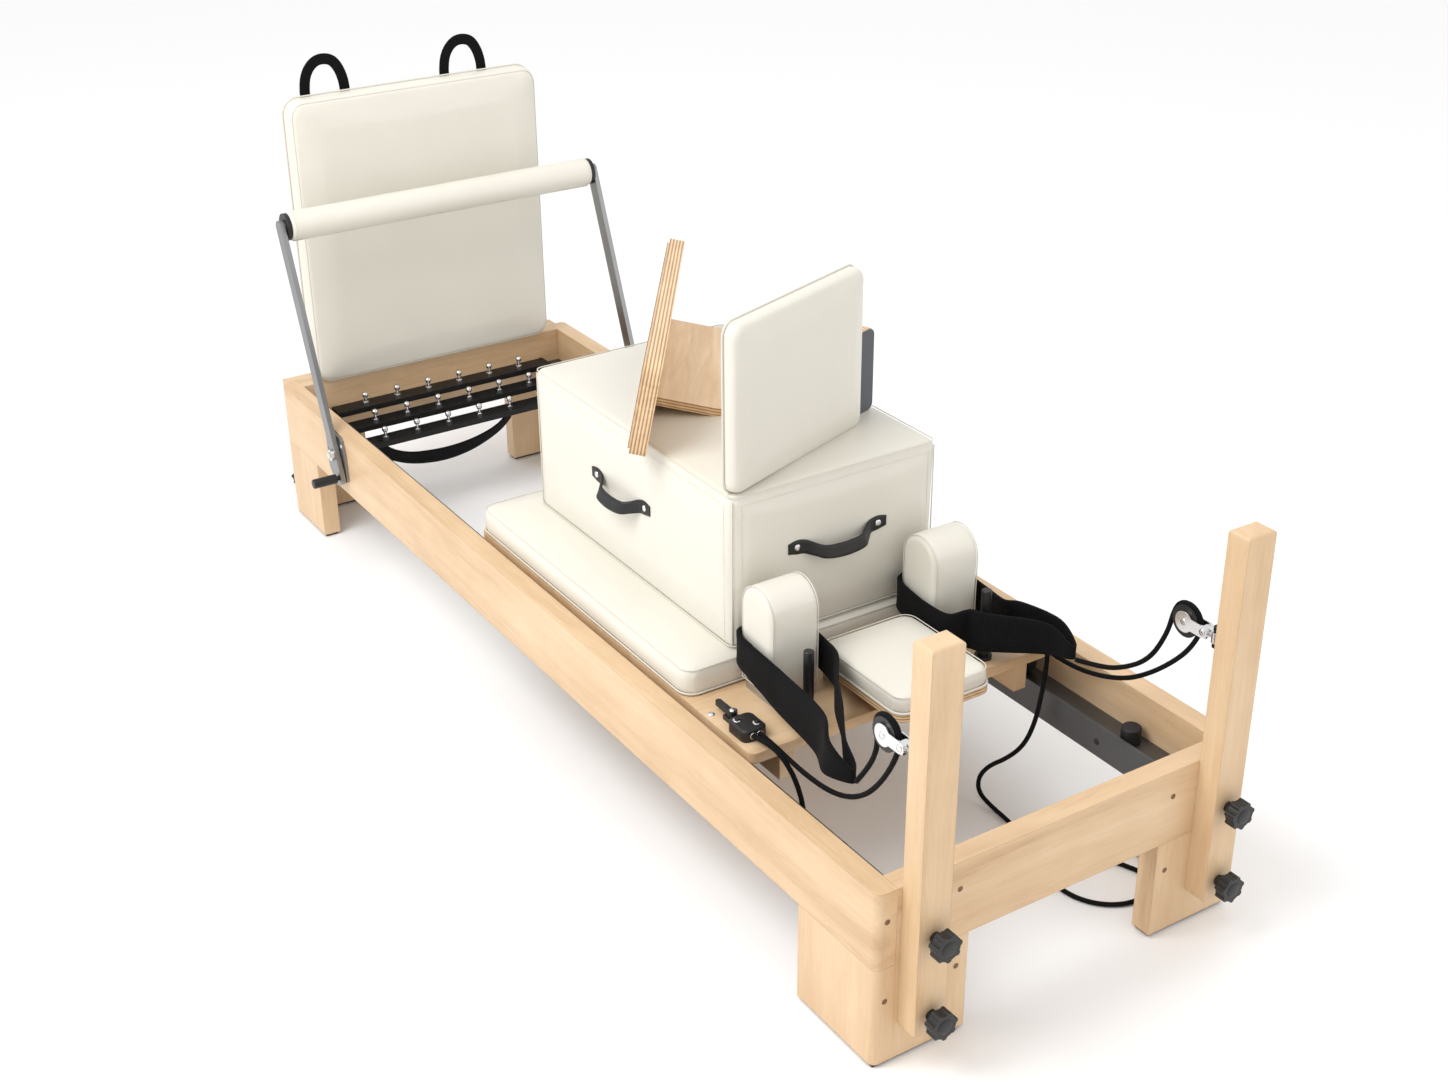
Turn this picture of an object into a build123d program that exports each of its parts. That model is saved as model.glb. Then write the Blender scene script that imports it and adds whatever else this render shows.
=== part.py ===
from build123d import *
from math import cos, pi, radians, sin, tan
import os

os.makedirs("parts", exist_ok=True)

# Pilates reformer. Millimetres. The floor is Z = 0 and the origin is under the middle of
# the frame. +X points to the head end, where the two risers stand. -Y is called the left side.

# ---- driving dimensions --------------------------------------------------------------
frame_length = 2170.0
frame_width = 700.0
rail_top = 304.5
rail_height = 130.0
rail_thickness = 36.0
foot_pad_height = 5.0
head_leg_length = 185.0
foot_leg_length = 166.0
leg_width = 166.0
corner_round = 12.0
seat_gap = 0.3          # between parts that lie on each other but come apart
running_gap = 0.05      # radial clearance of pins and axles

half_length = frame_length / 2
half_width = frame_width / 2
rail_bottom = rail_top - rail_height
inner_y = half_width - rail_thickness
leg_top = rail_bottom

# tracks and wheels
track_wall = 4.0
track_width = 52.0
track_top = 230.0
track_bottom = 186.0
track_lip = 14.0
wheel_radius = 25.0
wheel_width = 20.0
wheel_axle_radius = 5.0
stopper_radius = 16.5
stopper_height = 28.0
carriage_travel_foot = 500.0
carriage_travel_head = 220.0

# carriage
deck_thickness = 18.0
deck_top = 306.0
deck_foot_x = -205.0
deck_head_x = 705.0
deck_half_width = 302.0
pad_length = 725.0
pad_width = 600.0
pad_thickness = 48.0
pad_foot_x = -210.0
runner_width = 25.0
runner_inner_y = 222.0

# sitting box
box_length = 650.0
box_width = 405.0
box_height = 271.0
box_head_x = 498.0
box_side_round = 12.0
box_top_round = 11.7

# risers and pulleys
riser_depth = 40.0
riser_width = 54.0
riser_y = frame_width / 2 - 70.0
riser_bottom = 66.7
riser_top = 693.0
riser_knob_z = (234.0, 98.0)
pulley_x = 1005.0
pulley_z = 500.0
sheave_radius = 26.0
sheave_width = 12.0
rope_radius = 4.0

# footbar
pivot_x = -767.0
pivot_z = 262.0
footbar_reach = 473.0
footbar_lean = 21.0
footbar_radius = 30.0
arm_width = 30.0
arm_thickness = 10.0
plate_thickness = 6.0
pin_reach = 50.0
pin_radius = 5.0

# jump board
board_width = 570.0
board_height = 622.0
board_pad_thickness = 46.0
board_panel_thickness = 12.0
board_post_top = 860.0
board_post_bottom = 20.0
board_knob_z = 45.0
board_knob_y = frame_width / 2 - 43.0
upper_post_inner_y = 190.0
board_step_bottom = 225.0
bolt_clearance = 0.5


def save(name, shape):
    """Writes one named sub-part."""
    export_step(shape, "parts/" + name + ".step")


def group(*solids):
    """Several separate solids of one kind, kept together in one sub-part."""
    return Compound(children=[s for s in solids])


def block(x0, x1, y0, y1, z0, z1):
    """An upright block from its lowest and highest corners."""
    return Pos((x0 + x1) / 2, (y0 + y1) / 2, (z0 + z1) / 2) * Box(x1 - x0, y1 - y0, z1 - z0)


def rod_x(x0, x1, y, z, radius):
    return Pos((x0 + x1) / 2, y, z) * Rot(0, 90, 0) * Cylinder(radius, abs(x1 - x0))


def rod_y(x, y0, y1, z, radius):
    return Pos(x, (y0 + y1) / 2, z) * Rot(90, 0, 0) * Cylinder(radius, abs(y1 - y0))


def rod_z(x, y, z0, z1, radius):
    return Pos(x, y, (z0 + z1) / 2) * Cylinder(radius, z1 - z0)


def both_sides(solid):
    """A solid and its mirror image about the middle plane Y = 0."""
    return [solid, mirror(solid, about=Plane.XZ)]


# ---- frame ---------------------------------------------------------------------------
slot_x = 677.0
slot_length = 46.0
slot_height = 14.0
slot_z = rail_top - 26.0


def side_rail():
    """Left long rail, its two outer corners rounded."""
    rail = block(-half_length, half_length, -half_width, -inner_y, rail_bottom, rail_top)
    outer = rail.edges().filter_by(Axis.Z).sort_by(Axis.Y)[:2]
    return fillet(outer, corner_round)


def side_rails():
    right = mirror(side_rail(), about=Plane.XZ)
    slot = Plane.XZ * SlotOverall(slot_length, slot_height)
    cutter = extrude(slot, rail_thickness, both=True)
    right -= Pos(slot_x, inner_y + rail_thickness / 2, slot_z) * cutter
    return group(*[cut_pivots(cut_screws(rail)) for rail in (side_rail(), right)])


def end_rails():
    head = block(half_length - rail_thickness, half_length, -inner_y, inner_y, rail_bottom, rail_top)
    return group(*[cut_knob_bolts(cut_screws(rail)) for rail in (head, mirror(head, about=Plane.YZ))])


def corner_leg(x_sign, length):
    """The two boards of one left corner leg: one along the side and one along the end."""
    outer_x = x_sign * half_length
    inner_x = x_sign * (half_length - length)
    end_x = x_sign * (half_length - rail_thickness)
    x0, x1 = sorted((outer_x, inner_x))
    side = block(x0, x1, -half_width, -inner_y, foot_pad_height, leg_top)
    corner = [e for e in side.edges().filter_by(Axis.Z)
              if abs(e.center().X - outer_x) < 1 and abs(e.center().Y + half_width) < 1]
    side = fillet(corner, corner_round)
    x0, x1 = sorted((outer_x, end_x))
    end = block(x0, x1, -inner_y, -half_width + leg_width, foot_pad_height, leg_top)
    return [side, end]


def legs():
    boards = corner_leg(1, head_leg_length) + corner_leg(-1, foot_leg_length)
    boards = [solid for board in boards for solid in both_sides(board)]
    return group(*[cut_knob_bolts(cut_screws(board)) for board in boards])


def rubber_feet():
    """A thin rubber strip under each leg board, set in from the board's edges."""
    inset = 4.0
    strips = []
    for x_sign, length in ((1, head_leg_length), (-1, foot_leg_length)):
        x0, x1 = sorted((x_sign * (half_length - inset), x_sign * (half_length - length + inset)))
        strips += both_sides(block(x0, x1, -half_width + inset, -inner_y - inset, 0, foot_pad_height))
        x0, x1 = sorted((x_sign * (half_length - inset), x_sign * (half_length - rail_thickness + inset)))
        y0, y1 = -inner_y + inset, -half_width + leg_width - inset
        strips += both_sides(block(x0, x1, y0, y1, 0, foot_pad_height))
    return group(*strips)


screw_radius = 4.5
screw_length = 30.0
screw_proud = 0.2
screw_outer_y = inner_y + 17.0
screw_inner_y = half_width - 146.0
screw_places = ((-screw_outer_y, 255.0), (-screw_outer_y, 116.0), (-screw_inner_y, 258.0),
                (-screw_inner_y, 122.0))


def screw_solids():
    """Plugged screws that hold the corners, their heads just proud of the end faces."""
    solids = []
    for y, z in screw_places:
        screw = rod_x(half_length - screw_length, half_length + screw_proud, y, z, screw_radius)
        for one in (screw, mirror(screw, about=Plane.YZ)):
            solids += both_sides(one)
    return solids


def cut_screws(shape):
    for solid in screw_solids():
        shape = shape - solid
    return shape


def riser_posts():
    x0 = half_length
    post = block(x0, x0 + riser_depth, -riser_y - riser_width / 2, -riser_y + riser_width / 2,
                 riser_bottom, riser_top)
    post = fillet(post.edges().group_by(Axis.Z)[-1], 5.0)
    for z in riser_knob_z:
        post -= rod_x(x0 - 1, x0 + riser_depth + 1, -riser_y, z, knob_bolt_radius + running_gap)
    return group(*both_sides(post))


# ---- star knobs ----------------------------------------------------------------------
knob_bolt_radius = 4.0
knob_radius = 23.0
knob_lobes = 7
knob_head = 18.0
knob_neck = 14.0
knob_neck_radius = 9.0
bolt_depth = 22.0


def star_knob(shank):
    """A lobed hand knob on its bolt. The bolt's seat is at the origin, along +X."""
    head = Cylinder(knob_radius - 3.5, knob_head)
    for i in range(knob_lobes):
        angle = 360.0 / knob_lobes * i
        head += Rot(0, 0, angle) * Pos(knob_radius - 5.0, 0, 0) * Cylinder(5.0, knob_head)
    head = Rot(0, 90, 0) * head
    knob = Pos(knob_neck + knob_head / 2, 0, 0) * head
    knob += rod_x(0, knob_neck + 1, 0, 0, knob_neck_radius)
    knob += rod_x(-shank, 1, 0, 0, knob_bolt_radius)
    return knob


def cut_knob_bolts(shape):
    """Cuts the threaded bolt holes of all star knobs into the end boards."""
    depth = bolt_depth + 1.0
    for y_sign in (-1, 1):
        for z in riser_knob_z:
            shape = shape - rod_x(half_length - depth, half_length + 1, y_sign * riser_y, z,
                                  knob_bolt_radius + running_gap)
        shape = shape - rod_x(-half_length - 1, -half_length + depth, y_sign * board_knob_y,
                              board_knob_z, knob_bolt_radius + running_gap)
    return shape


# ---- tracks, stoppers ----------------------------------------------------------------
track_inner_y = inner_y - track_width


def track():
    """Left track: a channel under a flat running surface, with a lip at its inner edge."""
    x1 = half_length - rail_thickness
    web = block(-x1, x1, -track_inner_y - track_wall, -track_inner_y, track_bottom, track_top + track_lip)
    top = block(-x1, x1, -inner_y, -track_inner_y - 1, track_top - track_wall, track_top)
    back = block(-x1, x1, -inner_y, -inner_y + track_wall, track_bottom, track_top - 1)
    return web + top + back


def stopper_places():
    wheel_y = (inner_y + track_inner_y) / 2
    head = wheel_head_x + wheel_radius + carriage_travel_head + stopper_radius + 1
    foot = wheel_foot_x - wheel_radius - carriage_travel_foot - stopper_radius - 1
    return [(x, y) for x in (foot, head) for y in (-wheel_y, wheel_y)]


def track_stoppers():
    solids = []
    for x, y in stopper_places():
        cup = rod_z(x, y, track_top, track_top + stopper_height, stopper_radius)
        solids.append(chamfer(cup.edges().group_by(Axis.Z)[-1], 2.0))
    return group(*solids)


# ---- spring bar ----------------------------------------------------------------------
bar_x = (-1010.0, -962.0, -914.0)
bar_z = (250.0, 226.0, 202.0)
bar_width = 42.0
bar_height = 12.0
pin_pitch = 76.0
pin_count = 6


def spring_bars():
    """Three black steel bars between the tracks, stepped down toward the carriage."""
    bars = []
    for x, z in zip(bar_x, bar_z):
        y1 = track_inner_y
        bars.append(block(x - bar_width / 2, x + bar_width / 2, -y1, y1, z - bar_height, z))
    return group(*bars)


def spring_pins():
    """Ball-headed hooks for the springs' eyes, standing in three rows."""
    pins = []
    for x, z in zip(bar_x, bar_z):
        for i in range(pin_count):
            y = (i - (pin_count - 1) / 2) * pin_pitch
            stem = rod_z(x, y, z, z + 16, 3.5)
            collar = rod_z(x, y, z, z + 4, 7.0)
            pins.append(stem + collar + Pos(x, y, z + 20) * Sphere(7.0))
    return group(*pins)


strap_drop = 70.0
strap_width = 34.0
strap_thickness = 4.0
strap_ends = (-215.0, 115.0)


def foot_strap():
    """A webbing loop that sags in an arc below the lowest spring bar, its flat side outward."""
    x0 = bar_x[2]
    y0, y1 = strap_ends
    z = bar_z[2] - bar_height - seat_gap
    mid = ((y0 + y1) / 2, z - strap_drop)
    with BuildSketch(Plane.YZ) as section:
        with BuildLine():
            a = ThreePointArc((y0, z), mid, (y1, z))
            c = ThreePointArc((y0 + strap_width, z), (mid[0], mid[1] + strap_width), (y1 - strap_width, z))
            Line(a @ 0, c @ 0)
            Line(a @ 1, c @ 1)
        make_face()
    return Pos(x0, 0, 0) * extrude(section.sketch, strap_thickness)


# ---- footbar -------------------------------------------------------------------------
plate_y = half_width
arm_y = half_width + plate_thickness + 2.0
roller_half = half_width - 2.0
cap_thickness = 8.0
tube_radius = 12.5
pivot_bolt_radius = 7.0
footbar_swing = 102.0
slot_clearance = 0.4


def bar_point(distance):
    """A point on the arm's line, at a distance from the pivot toward the roller."""
    lean = radians(footbar_lean)
    return pivot_x - distance * sin(lean), pivot_z + distance * cos(lean)


def footbar_plates():
    """Steel plates on the rails' outer faces, with the pivot hole and the pin holes."""
    outline = [(-830, 306), (-747, 300), (-736, 270), (-732, 209), (-793, 178), (-826, 212)]
    face = make_face(Polyline(*outline, close=True))
    face = fillet(face.vertices(), 6.0)
    plate = extrude(Plane.XZ * face, plate_thickness)
    plate = Pos(0, -plate_y, 0) * plate
    plate -= rod_y(pivot_x, -plate_y - 20, -plate_y + 10, pivot_z, pivot_bolt_radius)
    slot = [pin_place(swing) for swing in (0, footbar_swing / 2, footbar_swing)]
    groove = Plane.XZ * SlotArc(ThreePointArc(*slot), 2 * (pin_radius + slot_clearance))
    plate -= Pos(0, -plate_y + 1, 0) * extrude(groove, plate_thickness + 2)
    return group(*both_sides(plate))


def pin_place(swing):
    """Where the locking pin sits for a swing of the footbar, in degrees forward."""
    angle = radians(footbar_lean - swing)
    return pivot_x + pin_reach * sin(angle), pivot_z - pin_reach * cos(angle)


def footbar_arms():
    length = footbar_reach + pin_reach + arm_width
    arm = Box(arm_width, arm_thickness, length)
    arm = fillet(arm.edges().filter_by(Axis.Y), arm_width / 2 - 1)
    arm = Pos(0, 0, (footbar_reach - pin_reach) / 2) * arm
    arm = Pos(pivot_x, -arm_y - arm_thickness / 2, pivot_z) * Rot(0, -footbar_lean, 0) * arm
    y0, y1 = -arm_y - arm_thickness - 1, -arm_y + 1
    arm -= rod_y(pivot_x, y0, y1, pivot_z, pivot_bolt_radius + running_gap)
    x, z = pin_place(0)
    arm -= rod_y(x, y0, y1, z, pin_radius + running_gap)
    x, z = bar_point(footbar_reach)
    arm -= rod_y(x, y0, y1, z, tube_radius)
    return group(*both_sides(arm))


def footbar_tube():
    x, z = bar_point(footbar_reach)
    return rod_y(x, -arm_y - arm_thickness, arm_y + arm_thickness, z, tube_radius)


def footbar_pad():
    x, z = bar_point(footbar_reach)
    pad = rod_y(x, -roller_half, roller_half, z, footbar_radius)
    pad = fillet(pad.edges().filter_by(GeomType.CIRCLE), 4.0)
    return pad - rod_y(x, -roller_half - 1, roller_half + 1, z, tube_radius)


def footbar_end_caps():
    x, z = bar_point(footbar_reach)
    cap = rod_y(x, -roller_half - cap_thickness, -roller_half, z, footbar_radius - 2)
    cap -= rod_y(x, -roller_half - 20, -roller_half + 20, z, tube_radius)
    return group(*both_sides(cap))


def footbar_pivot_bolts():
    face = -arm_y - arm_thickness - seat_gap
    head = rod_y(pivot_x, face - 6, face, pivot_z, 12.0)
    shank = rod_y(pivot_x, -arm_y - arm_thickness - 1, -plate_y + 20, pivot_z, pivot_bolt_radius)
    return group(*both_sides(head + shank))


def cut_pivots(shape):
    """Holes for the footbar's pivot bolts in the side rails."""
    for y_sign in (-1, 1):
        y0, y1 = sorted((y_sign * (half_width + 1), y_sign * (half_width - 20)))
        shape = shape - rod_y(pivot_x, y0, y1, pivot_z, pivot_bolt_radius)
    return shape


def locking_pin():
    """Spring plunger with a cylindrical grip, pulled outward to free the footbar."""
    x, z = pin_place(0)
    y = -arm_y - arm_thickness
    pin = rod_y(x, y - 8, -plate_y - seat_gap, z, pin_radius)
    grip = rod_y(x, y - 56, y - 4 - seat_gap, z, 10.0)
    grip = fillet(grip.edges().filter_by(GeomType.CIRCLE), 2.5)
    return pin + grip


# ---- jump board ----------------------------------------------------------------------
board_x0 = -half_length
board_z0 = rail_top + seat_gap
pad_edge_round = 14.0


def board_outline(width, height, radius):
    return fillet(Rectangle(width, height).vertices(), radius)


def jump_board_panel():
    face = Plane.YZ * board_outline(board_width - 10, board_height - 10, 30)
    panel = extrude(face, board_panel_thickness)
    return Pos(board_x0, 0, board_z0 + (board_height - 10) / 2) * panel


def jump_board_pad():
    face = Plane.YZ * board_outline(board_width, board_height, 34)
    pad = extrude(face, board_pad_thickness)
    pad = fillet(pad.edges().group_by(Axis.X)[-1], pad_edge_round)
    x = board_x0 + board_panel_thickness
    return Pos(x, 0, board_z0 + board_height / 2) * pad


def jump_board_posts():
    """Two posts behind the board. Each steps outward under the rail's top to its clamping bolt,
    and drops over that bolt, so it is open at its foot."""
    x1 = -half_length - seat_gap
    x0 = x1 - riser_depth
    outer, inner = -board_knob_y - riser_width / 2, -board_knob_y + riser_width / 2
    post = block(x0, x1, outer, inner, board_post_bottom, rail_top - 4)
    post += block(x0, x1, outer, -upper_post_inner_y, board_step_bottom, rail_top - 4)
    post += block(x0, x1, -upper_post_inner_y - riser_width, -upper_post_inner_y,
                  board_step_bottom, board_post_top)
    clear = knob_bolt_radius + bolt_clearance
    post -= block(x0 - 1, x1 + 1, -board_knob_y - clear, -board_knob_y + clear,
                  board_post_bottom - 1, board_knob_z)
    post -= rod_x(x0 - 1, x1 + 1, -board_knob_y, board_knob_z, clear)
    return group(*both_sides(post))


loop_width = 22.0
loop_thickness = 4.0
loop_reach = 56.0
loop_rise = 92.0
loop_places = (-184.0, 133.0)


def jump_board_loops():
    """Two webbing carrying loops that stand in an arch on the panel's top edge."""
    loops = []
    z0 = board_z0 + board_height - 10 + seat_gap
    outer = Ellipse(loop_reach, loop_rise) - Ellipse(loop_reach - loop_width, loop_rise - loop_width)
    arch = outer & (Pos(0, loop_rise) * Rectangle(4 * loop_reach, 2 * loop_rise))
    for y in loop_places:
        ring = extrude(Plane.YZ * arch, loop_thickness)
        loops.append(Pos(board_x0 + (board_panel_thickness - loop_thickness) / 2, y, z0) * ring)
    return group(*loops)


# ---- carriage ------------------------------------------------------------------------
wheel_foot_x = -145.0
wheel_head_x = 645.0
axle_z = track_top + wheel_radius + seat_gap
wheel_y = (inner_y + track_inner_y) / 2
deck_bottom = deck_top - deck_thickness
runner_bottom = axle_z - 17.0
cross_x = (-190.0, 262.0, 596.0)
cross_width = 26.0


def carriage_deck():
    deck = block(deck_foot_x, deck_head_x, -deck_half_width, deck_half_width, deck_bottom, deck_top)
    deck = fillet(deck.edges().filter_by(Axis.Z), 12.0)
    for x, y in peg_places():
        deck -= rod_z(x, y, deck_bottom - 1, deck_top + 1, peg_foot_radius)
    return deck


def carriage_pad():
    z = deck_top + pad_thickness / 2
    pad = Pos(pad_foot_x + pad_length / 2, 0, z) * Box(pad_length, pad_width, pad_thickness)
    pad = fillet(pad.edges().filter_by(Axis.Z), 26.0)
    return fillet(pad.edges().group_by(Axis.Z)[-1], 14.0)


def carriage_runners():
    """Two wooden runners under the deck, joined by three cross members."""
    y0, y1 = -runner_inner_y - runner_width, -runner_inner_y
    runner = block(deck_foot_x + 5, deck_head_x - 5, y0, y1, runner_bottom, deck_bottom)
    for x in (wheel_foot_x, wheel_head_x):
        runner -= rod_y(x, y0 - 1, y1 + 1, axle_z, wheel_axle_radius)
    crosses = [block(x - cross_width / 2, x + cross_width / 2, y1, -y1, runner_bottom, deck_bottom)
               for x in cross_x]
    crosses = [fillet(c.edges().filter_by(Axis.Y), 1.5) for c in crosses]
    return group(*both_sides(runner), *crosses)


def wheel_pair(x):
    wheel = rod_y(x, -wheel_y - wheel_width / 2, -wheel_y + wheel_width / 2, axle_z, wheel_radius)
    wheel = fillet(wheel.edges().filter_by(GeomType.CIRCLE), 2.0)
    wheel -= rod_y(x, -wheel_y - 20, -wheel_y + 20, axle_z, wheel_axle_radius + running_gap)
    return group(*both_sides(wheel))


def wheel_axles():
    axles = []
    for x in (wheel_foot_x, wheel_head_x):
        axle = rod_y(x, -wheel_y - wheel_width / 2 - 3, -runner_inner_y + 6, axle_z, wheel_axle_radius)
        axle += rod_y(x, -wheel_y - wheel_width / 2 - 6, -wheel_y - wheel_width / 2 - 1, axle_z, 8.0)
        axle += rod_y(x, -wheel_y + wheel_width / 2 + 1, -runner_inner_y - runner_width, axle_z, 8.0)
        axle += rod_y(x, -runner_inner_y, -runner_inner_y + 5, axle_z, 8.0)
        axles += both_sides(axle)
    return group(*axles)


spring_radius = 11.0
spring_count = 5
spring_pitch = 78.0


def springs():
    """The stowed springs, between the two foot-side cross members."""
    z = deck_bottom - spring_radius - 6.0
    x0, x1 = cross_x[0] + cross_width / 2, cross_x[1] - cross_width / 2
    coils = []
    for i in range(spring_count):
        y = (i - (spring_count - 1) / 2) * spring_pitch
        coil = rod_x(x0 + 25, x1 - 25, y, z, spring_radius)
        coil += rod_x(x0, x1, y, z, 3.0)
        coils.append(coil)
    return group(*coils)


rest_foot_x = 527.0
rest_depth = 88.0
rest_width = 90.0
rest_inner_y = 114.0
rest_bottom = 322.0
rest_top = 503.0


def shoulder_rest():
    """Left shoulder rest: upright block with a half-round top, rounded all along."""
    r = rest_depth / 2
    body = Rectangle(rest_depth, rest_top - r - rest_bottom)
    body = Pos(0, (rest_bottom + rest_top - r) / 2) * body + Pos(0, rest_top - r) * Circle(r)
    rest = extrude(Plane.XZ * body, rest_width)
    rest = fillet(rest.edges().group_by(Axis.Y)[0] + rest.edges().group_by(Axis.Y)[-1], 7.0)
    return Pos(rest_foot_x + r, -rest_inner_y, 0) * rest


def rest_bases():
    """Metal sockets on the deck, each with a tongue that enters its shoulder rest."""
    x0, x1 = rest_foot_x + 4, rest_foot_x + rest_depth - 4
    y1 = -rest_inner_y - 4
    y0 = y1 - rest_width + 8
    base = block(x0, x1, y0, y1, deck_top, rest_bottom - seat_gap)
    base = fillet(base.edges().filter_by(Axis.Z), 6.0)
    return group(*both_sides(base))


peg_x = 672.0
peg_y = 175.0
peg_radius = 8.5
peg_foot_radius = 5.0
peg_top = 432.0


def peg_places():
    return [(peg_x, -peg_y), (peg_x, peg_y)]


def strap_pegs():
    pegs = []
    for x, y in peg_places():
        peg = rod_z(x, y, deck_top, peg_top, peg_radius)
        peg = chamfer(peg.edges().group_by(Axis.Z)[-1], 1.2)
        peg += rod_z(x, y, deck_bottom, deck_top + 1, peg_foot_radius)
        peg += rod_z(x, y, deck_top, deck_top + 6, peg_radius + 6)
        pegs.append(peg)
    return group(*pegs)


headrest_foot_x = 575.0
headrest_length = 220.0
headrest_width = 186.0
headrest_board_bottom = 333.0
headrest_board_thickness = 12.0
headrest_pad_thickness = 30.0
hinge_radius = 5.0
hinge_x = headrest_foot_x + 14.0
hinge_z = headrest_board_bottom - 8.0


def headrest_board():
    x = headrest_foot_x + headrest_length / 2
    z = headrest_board_bottom + headrest_board_thickness / 2
    board = Pos(x, 0, z) * Box(headrest_length, headrest_width, headrest_board_thickness)
    board = fillet(board.edges().filter_by(Axis.Z), 24.0)
    for y in (-55.0, 55.0):
        lug = block(hinge_x - 8, hinge_x + 8, y - 10, y + 10, hinge_z, headrest_board_bottom + 1)
        lug += rod_y(hinge_x, y - 10, y + 10, hinge_z, 8.0)
        board += lug
    board -= rod_y(hinge_x, -70, 70, hinge_z, hinge_radius + running_gap)
    return board


def headrest_pad():
    x = headrest_foot_x + headrest_length / 2
    z = headrest_board_bottom + headrest_board_thickness + headrest_pad_thickness / 2
    pad = Pos(x, 0, z) * Box(headrest_length - 4, headrest_width - 4, headrest_pad_thickness)
    pad = fillet(pad.edges().filter_by(Axis.Z), 24.0)
    return fillet(pad.edges().group_by(Axis.Z)[-1], 11.0)


def headrest_hinge():
    """Hinge pin in two ears that stand on the deck, and the block the head end rests on."""
    pin = rod_y(hinge_x, -82, 82, hinge_z, hinge_radius)
    ears = []
    for y in (-75.0, 75.0):
        ear = block(hinge_x - 8, hinge_x + 8, y - 7, y + 7, deck_top, hinge_z)
        ears.append(ear + rod_y(hinge_x, y - 7, y + 7, hinge_z, 8.0))
    prop = block(headrest_foot_x + headrest_length - 90, headrest_foot_x + headrest_length - 62,
                 -30, 30, deck_top, headrest_board_bottom - seat_gap)
    return group(pin + ears[0] + ears[1], prop)


cleat_x = 648.0
cleat_y = 272.0
cleat_length = 52.0
cleat_width = 44.0
cleat_height = 20.0
cleat_lever_x = 606.0


def rope_cleats():
    """Rope cleats on the deck's head corners. The ropes leave their head faces."""
    z0 = deck_top
    body = block(cleat_x - cleat_length / 2, cleat_x + cleat_length / 2,
                 -cleat_y - cleat_width / 2, -cleat_y + cleat_width / 2, z0, z0 + cleat_height)
    body = fillet(body.edges().filter_by(Axis.Z), 11.0)
    body = fillet(body.edges().group_by(Axis.Z)[-1], 4.0)
    foot = block(cleat_lever_x - 12, cleat_x, -cleat_y - 10, -cleat_y + 10, z0, z0 + 8)
    body += foot
    body -= rod_z(cleat_lever_x, -cleat_y, z0 - 1, z0 + 9, 3.0 + running_gap)
    return group(*both_sides(body))


def cleat_lever():
    """The left cleat's small clamping lever, which turns on a vertical pin."""
    z0 = deck_top + 8 + seat_gap
    lever = block(cleat_lever_x - 44, cleat_lever_x + 6, -cleat_y - 5, -cleat_y + 5, z0, z0 + 8)
    lever = fillet(lever.edges().filter_by(Axis.Z), 4.0)
    lever += rod_z(cleat_lever_x, -cleat_y, z0, z0 + 10, 8.0)
    lever += rod_z(cleat_lever_x, -cleat_y, deck_top + 0.5, z0 + 1, 3.0)
    return lever


# ---- pulleys -------------------------------------------------------------------------
cheek_thickness = 2.5
cheek_gap = 1.0
bracket_thickness = 6.0
eye_x = half_length - bracket_thickness - 14.0
swivel_radius = 4.0


def pulley_brackets():
    """Plates on the risers' foot-side faces, each with two ears for the swivel pin."""
    x1 = half_length
    plate = block(x1 - bracket_thickness, x1, -riser_y - 20, -riser_y + 20, pulley_z - 50, pulley_z + 50)
    plate = fillet(plate.edges().filter_by(Axis.X), 8.0)
    for dz in (-14.0, 14.0):
        ear = block(eye_x, x1 - bracket_thickness + 1, -riser_y - 7, -riser_y + 7,
                    pulley_z + dz - 3, pulley_z + dz + 3)
        plate += ear + rod_z(eye_x, -riser_y, pulley_z + dz - 3, pulley_z + dz + 3, 7.0)
    plate += rod_z(eye_x, -riser_y, pulley_z - 16, pulley_z + 16, swivel_radius)
    return group(*both_sides(plate))


def pulley_block():
    """Left pulley's swivelling block: two cheeks, a bridge and the eye round the pin."""
    inner = sheave_width / 2 + cheek_gap
    outline = Circle(17.0) + Pos(38.0, 0) * Circle(9.0) + Pos(19.0, 0) * Rectangle(38.0, 20.0)
    cheek = extrude(Plane.XZ * outline, cheek_thickness)
    near = Pos(0, -inner, 0) * cheek
    pair = near + mirror(near, about=Plane.XZ)
    pair = Pos(pulley_x, -riser_y, pulley_z) * pair
    bridge_x = pulley_x + sheave_radius + 2 * rope_radius
    bridge = block(bridge_x, bridge_x + 12, -riser_y - inner - cheek_thickness,
                   -riser_y + inner + cheek_thickness, pulley_z - 8, pulley_z + 8)
    neck = rod_x(bridge_x + 6, eye_x - 6, -riser_y, pulley_z, 5.0)
    eye = rod_z(eye_x, -riser_y, pulley_z - 9, pulley_z + 9, 9.0)
    pin = rod_y(pulley_x, -riser_y - inner - 1, -riser_y + inner + 1, pulley_z, 4.0)
    whole = pair + bridge + neck + eye + pin
    return whole - rod_z(eye_x, -riser_y, pulley_z - 20, pulley_z + 20, swivel_radius + running_gap)


def sheave():
    """Left sheave with its round groove and bore."""
    w = sheave_width / 2
    wheel = rod_y(pulley_x, -riser_y - w, -riser_y + w, pulley_z, sheave_radius)
    groove = Torus(sheave_radius + 1.2, rope_radius + 0.4)
    wheel -= Pos(pulley_x, -riser_y, pulley_z) * Rot(90, 0, 0) * groove
    return wheel - rod_y(pulley_x, -riser_y - 20, -riser_y + 20, pulley_z, 4.0 + running_gap)


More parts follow.
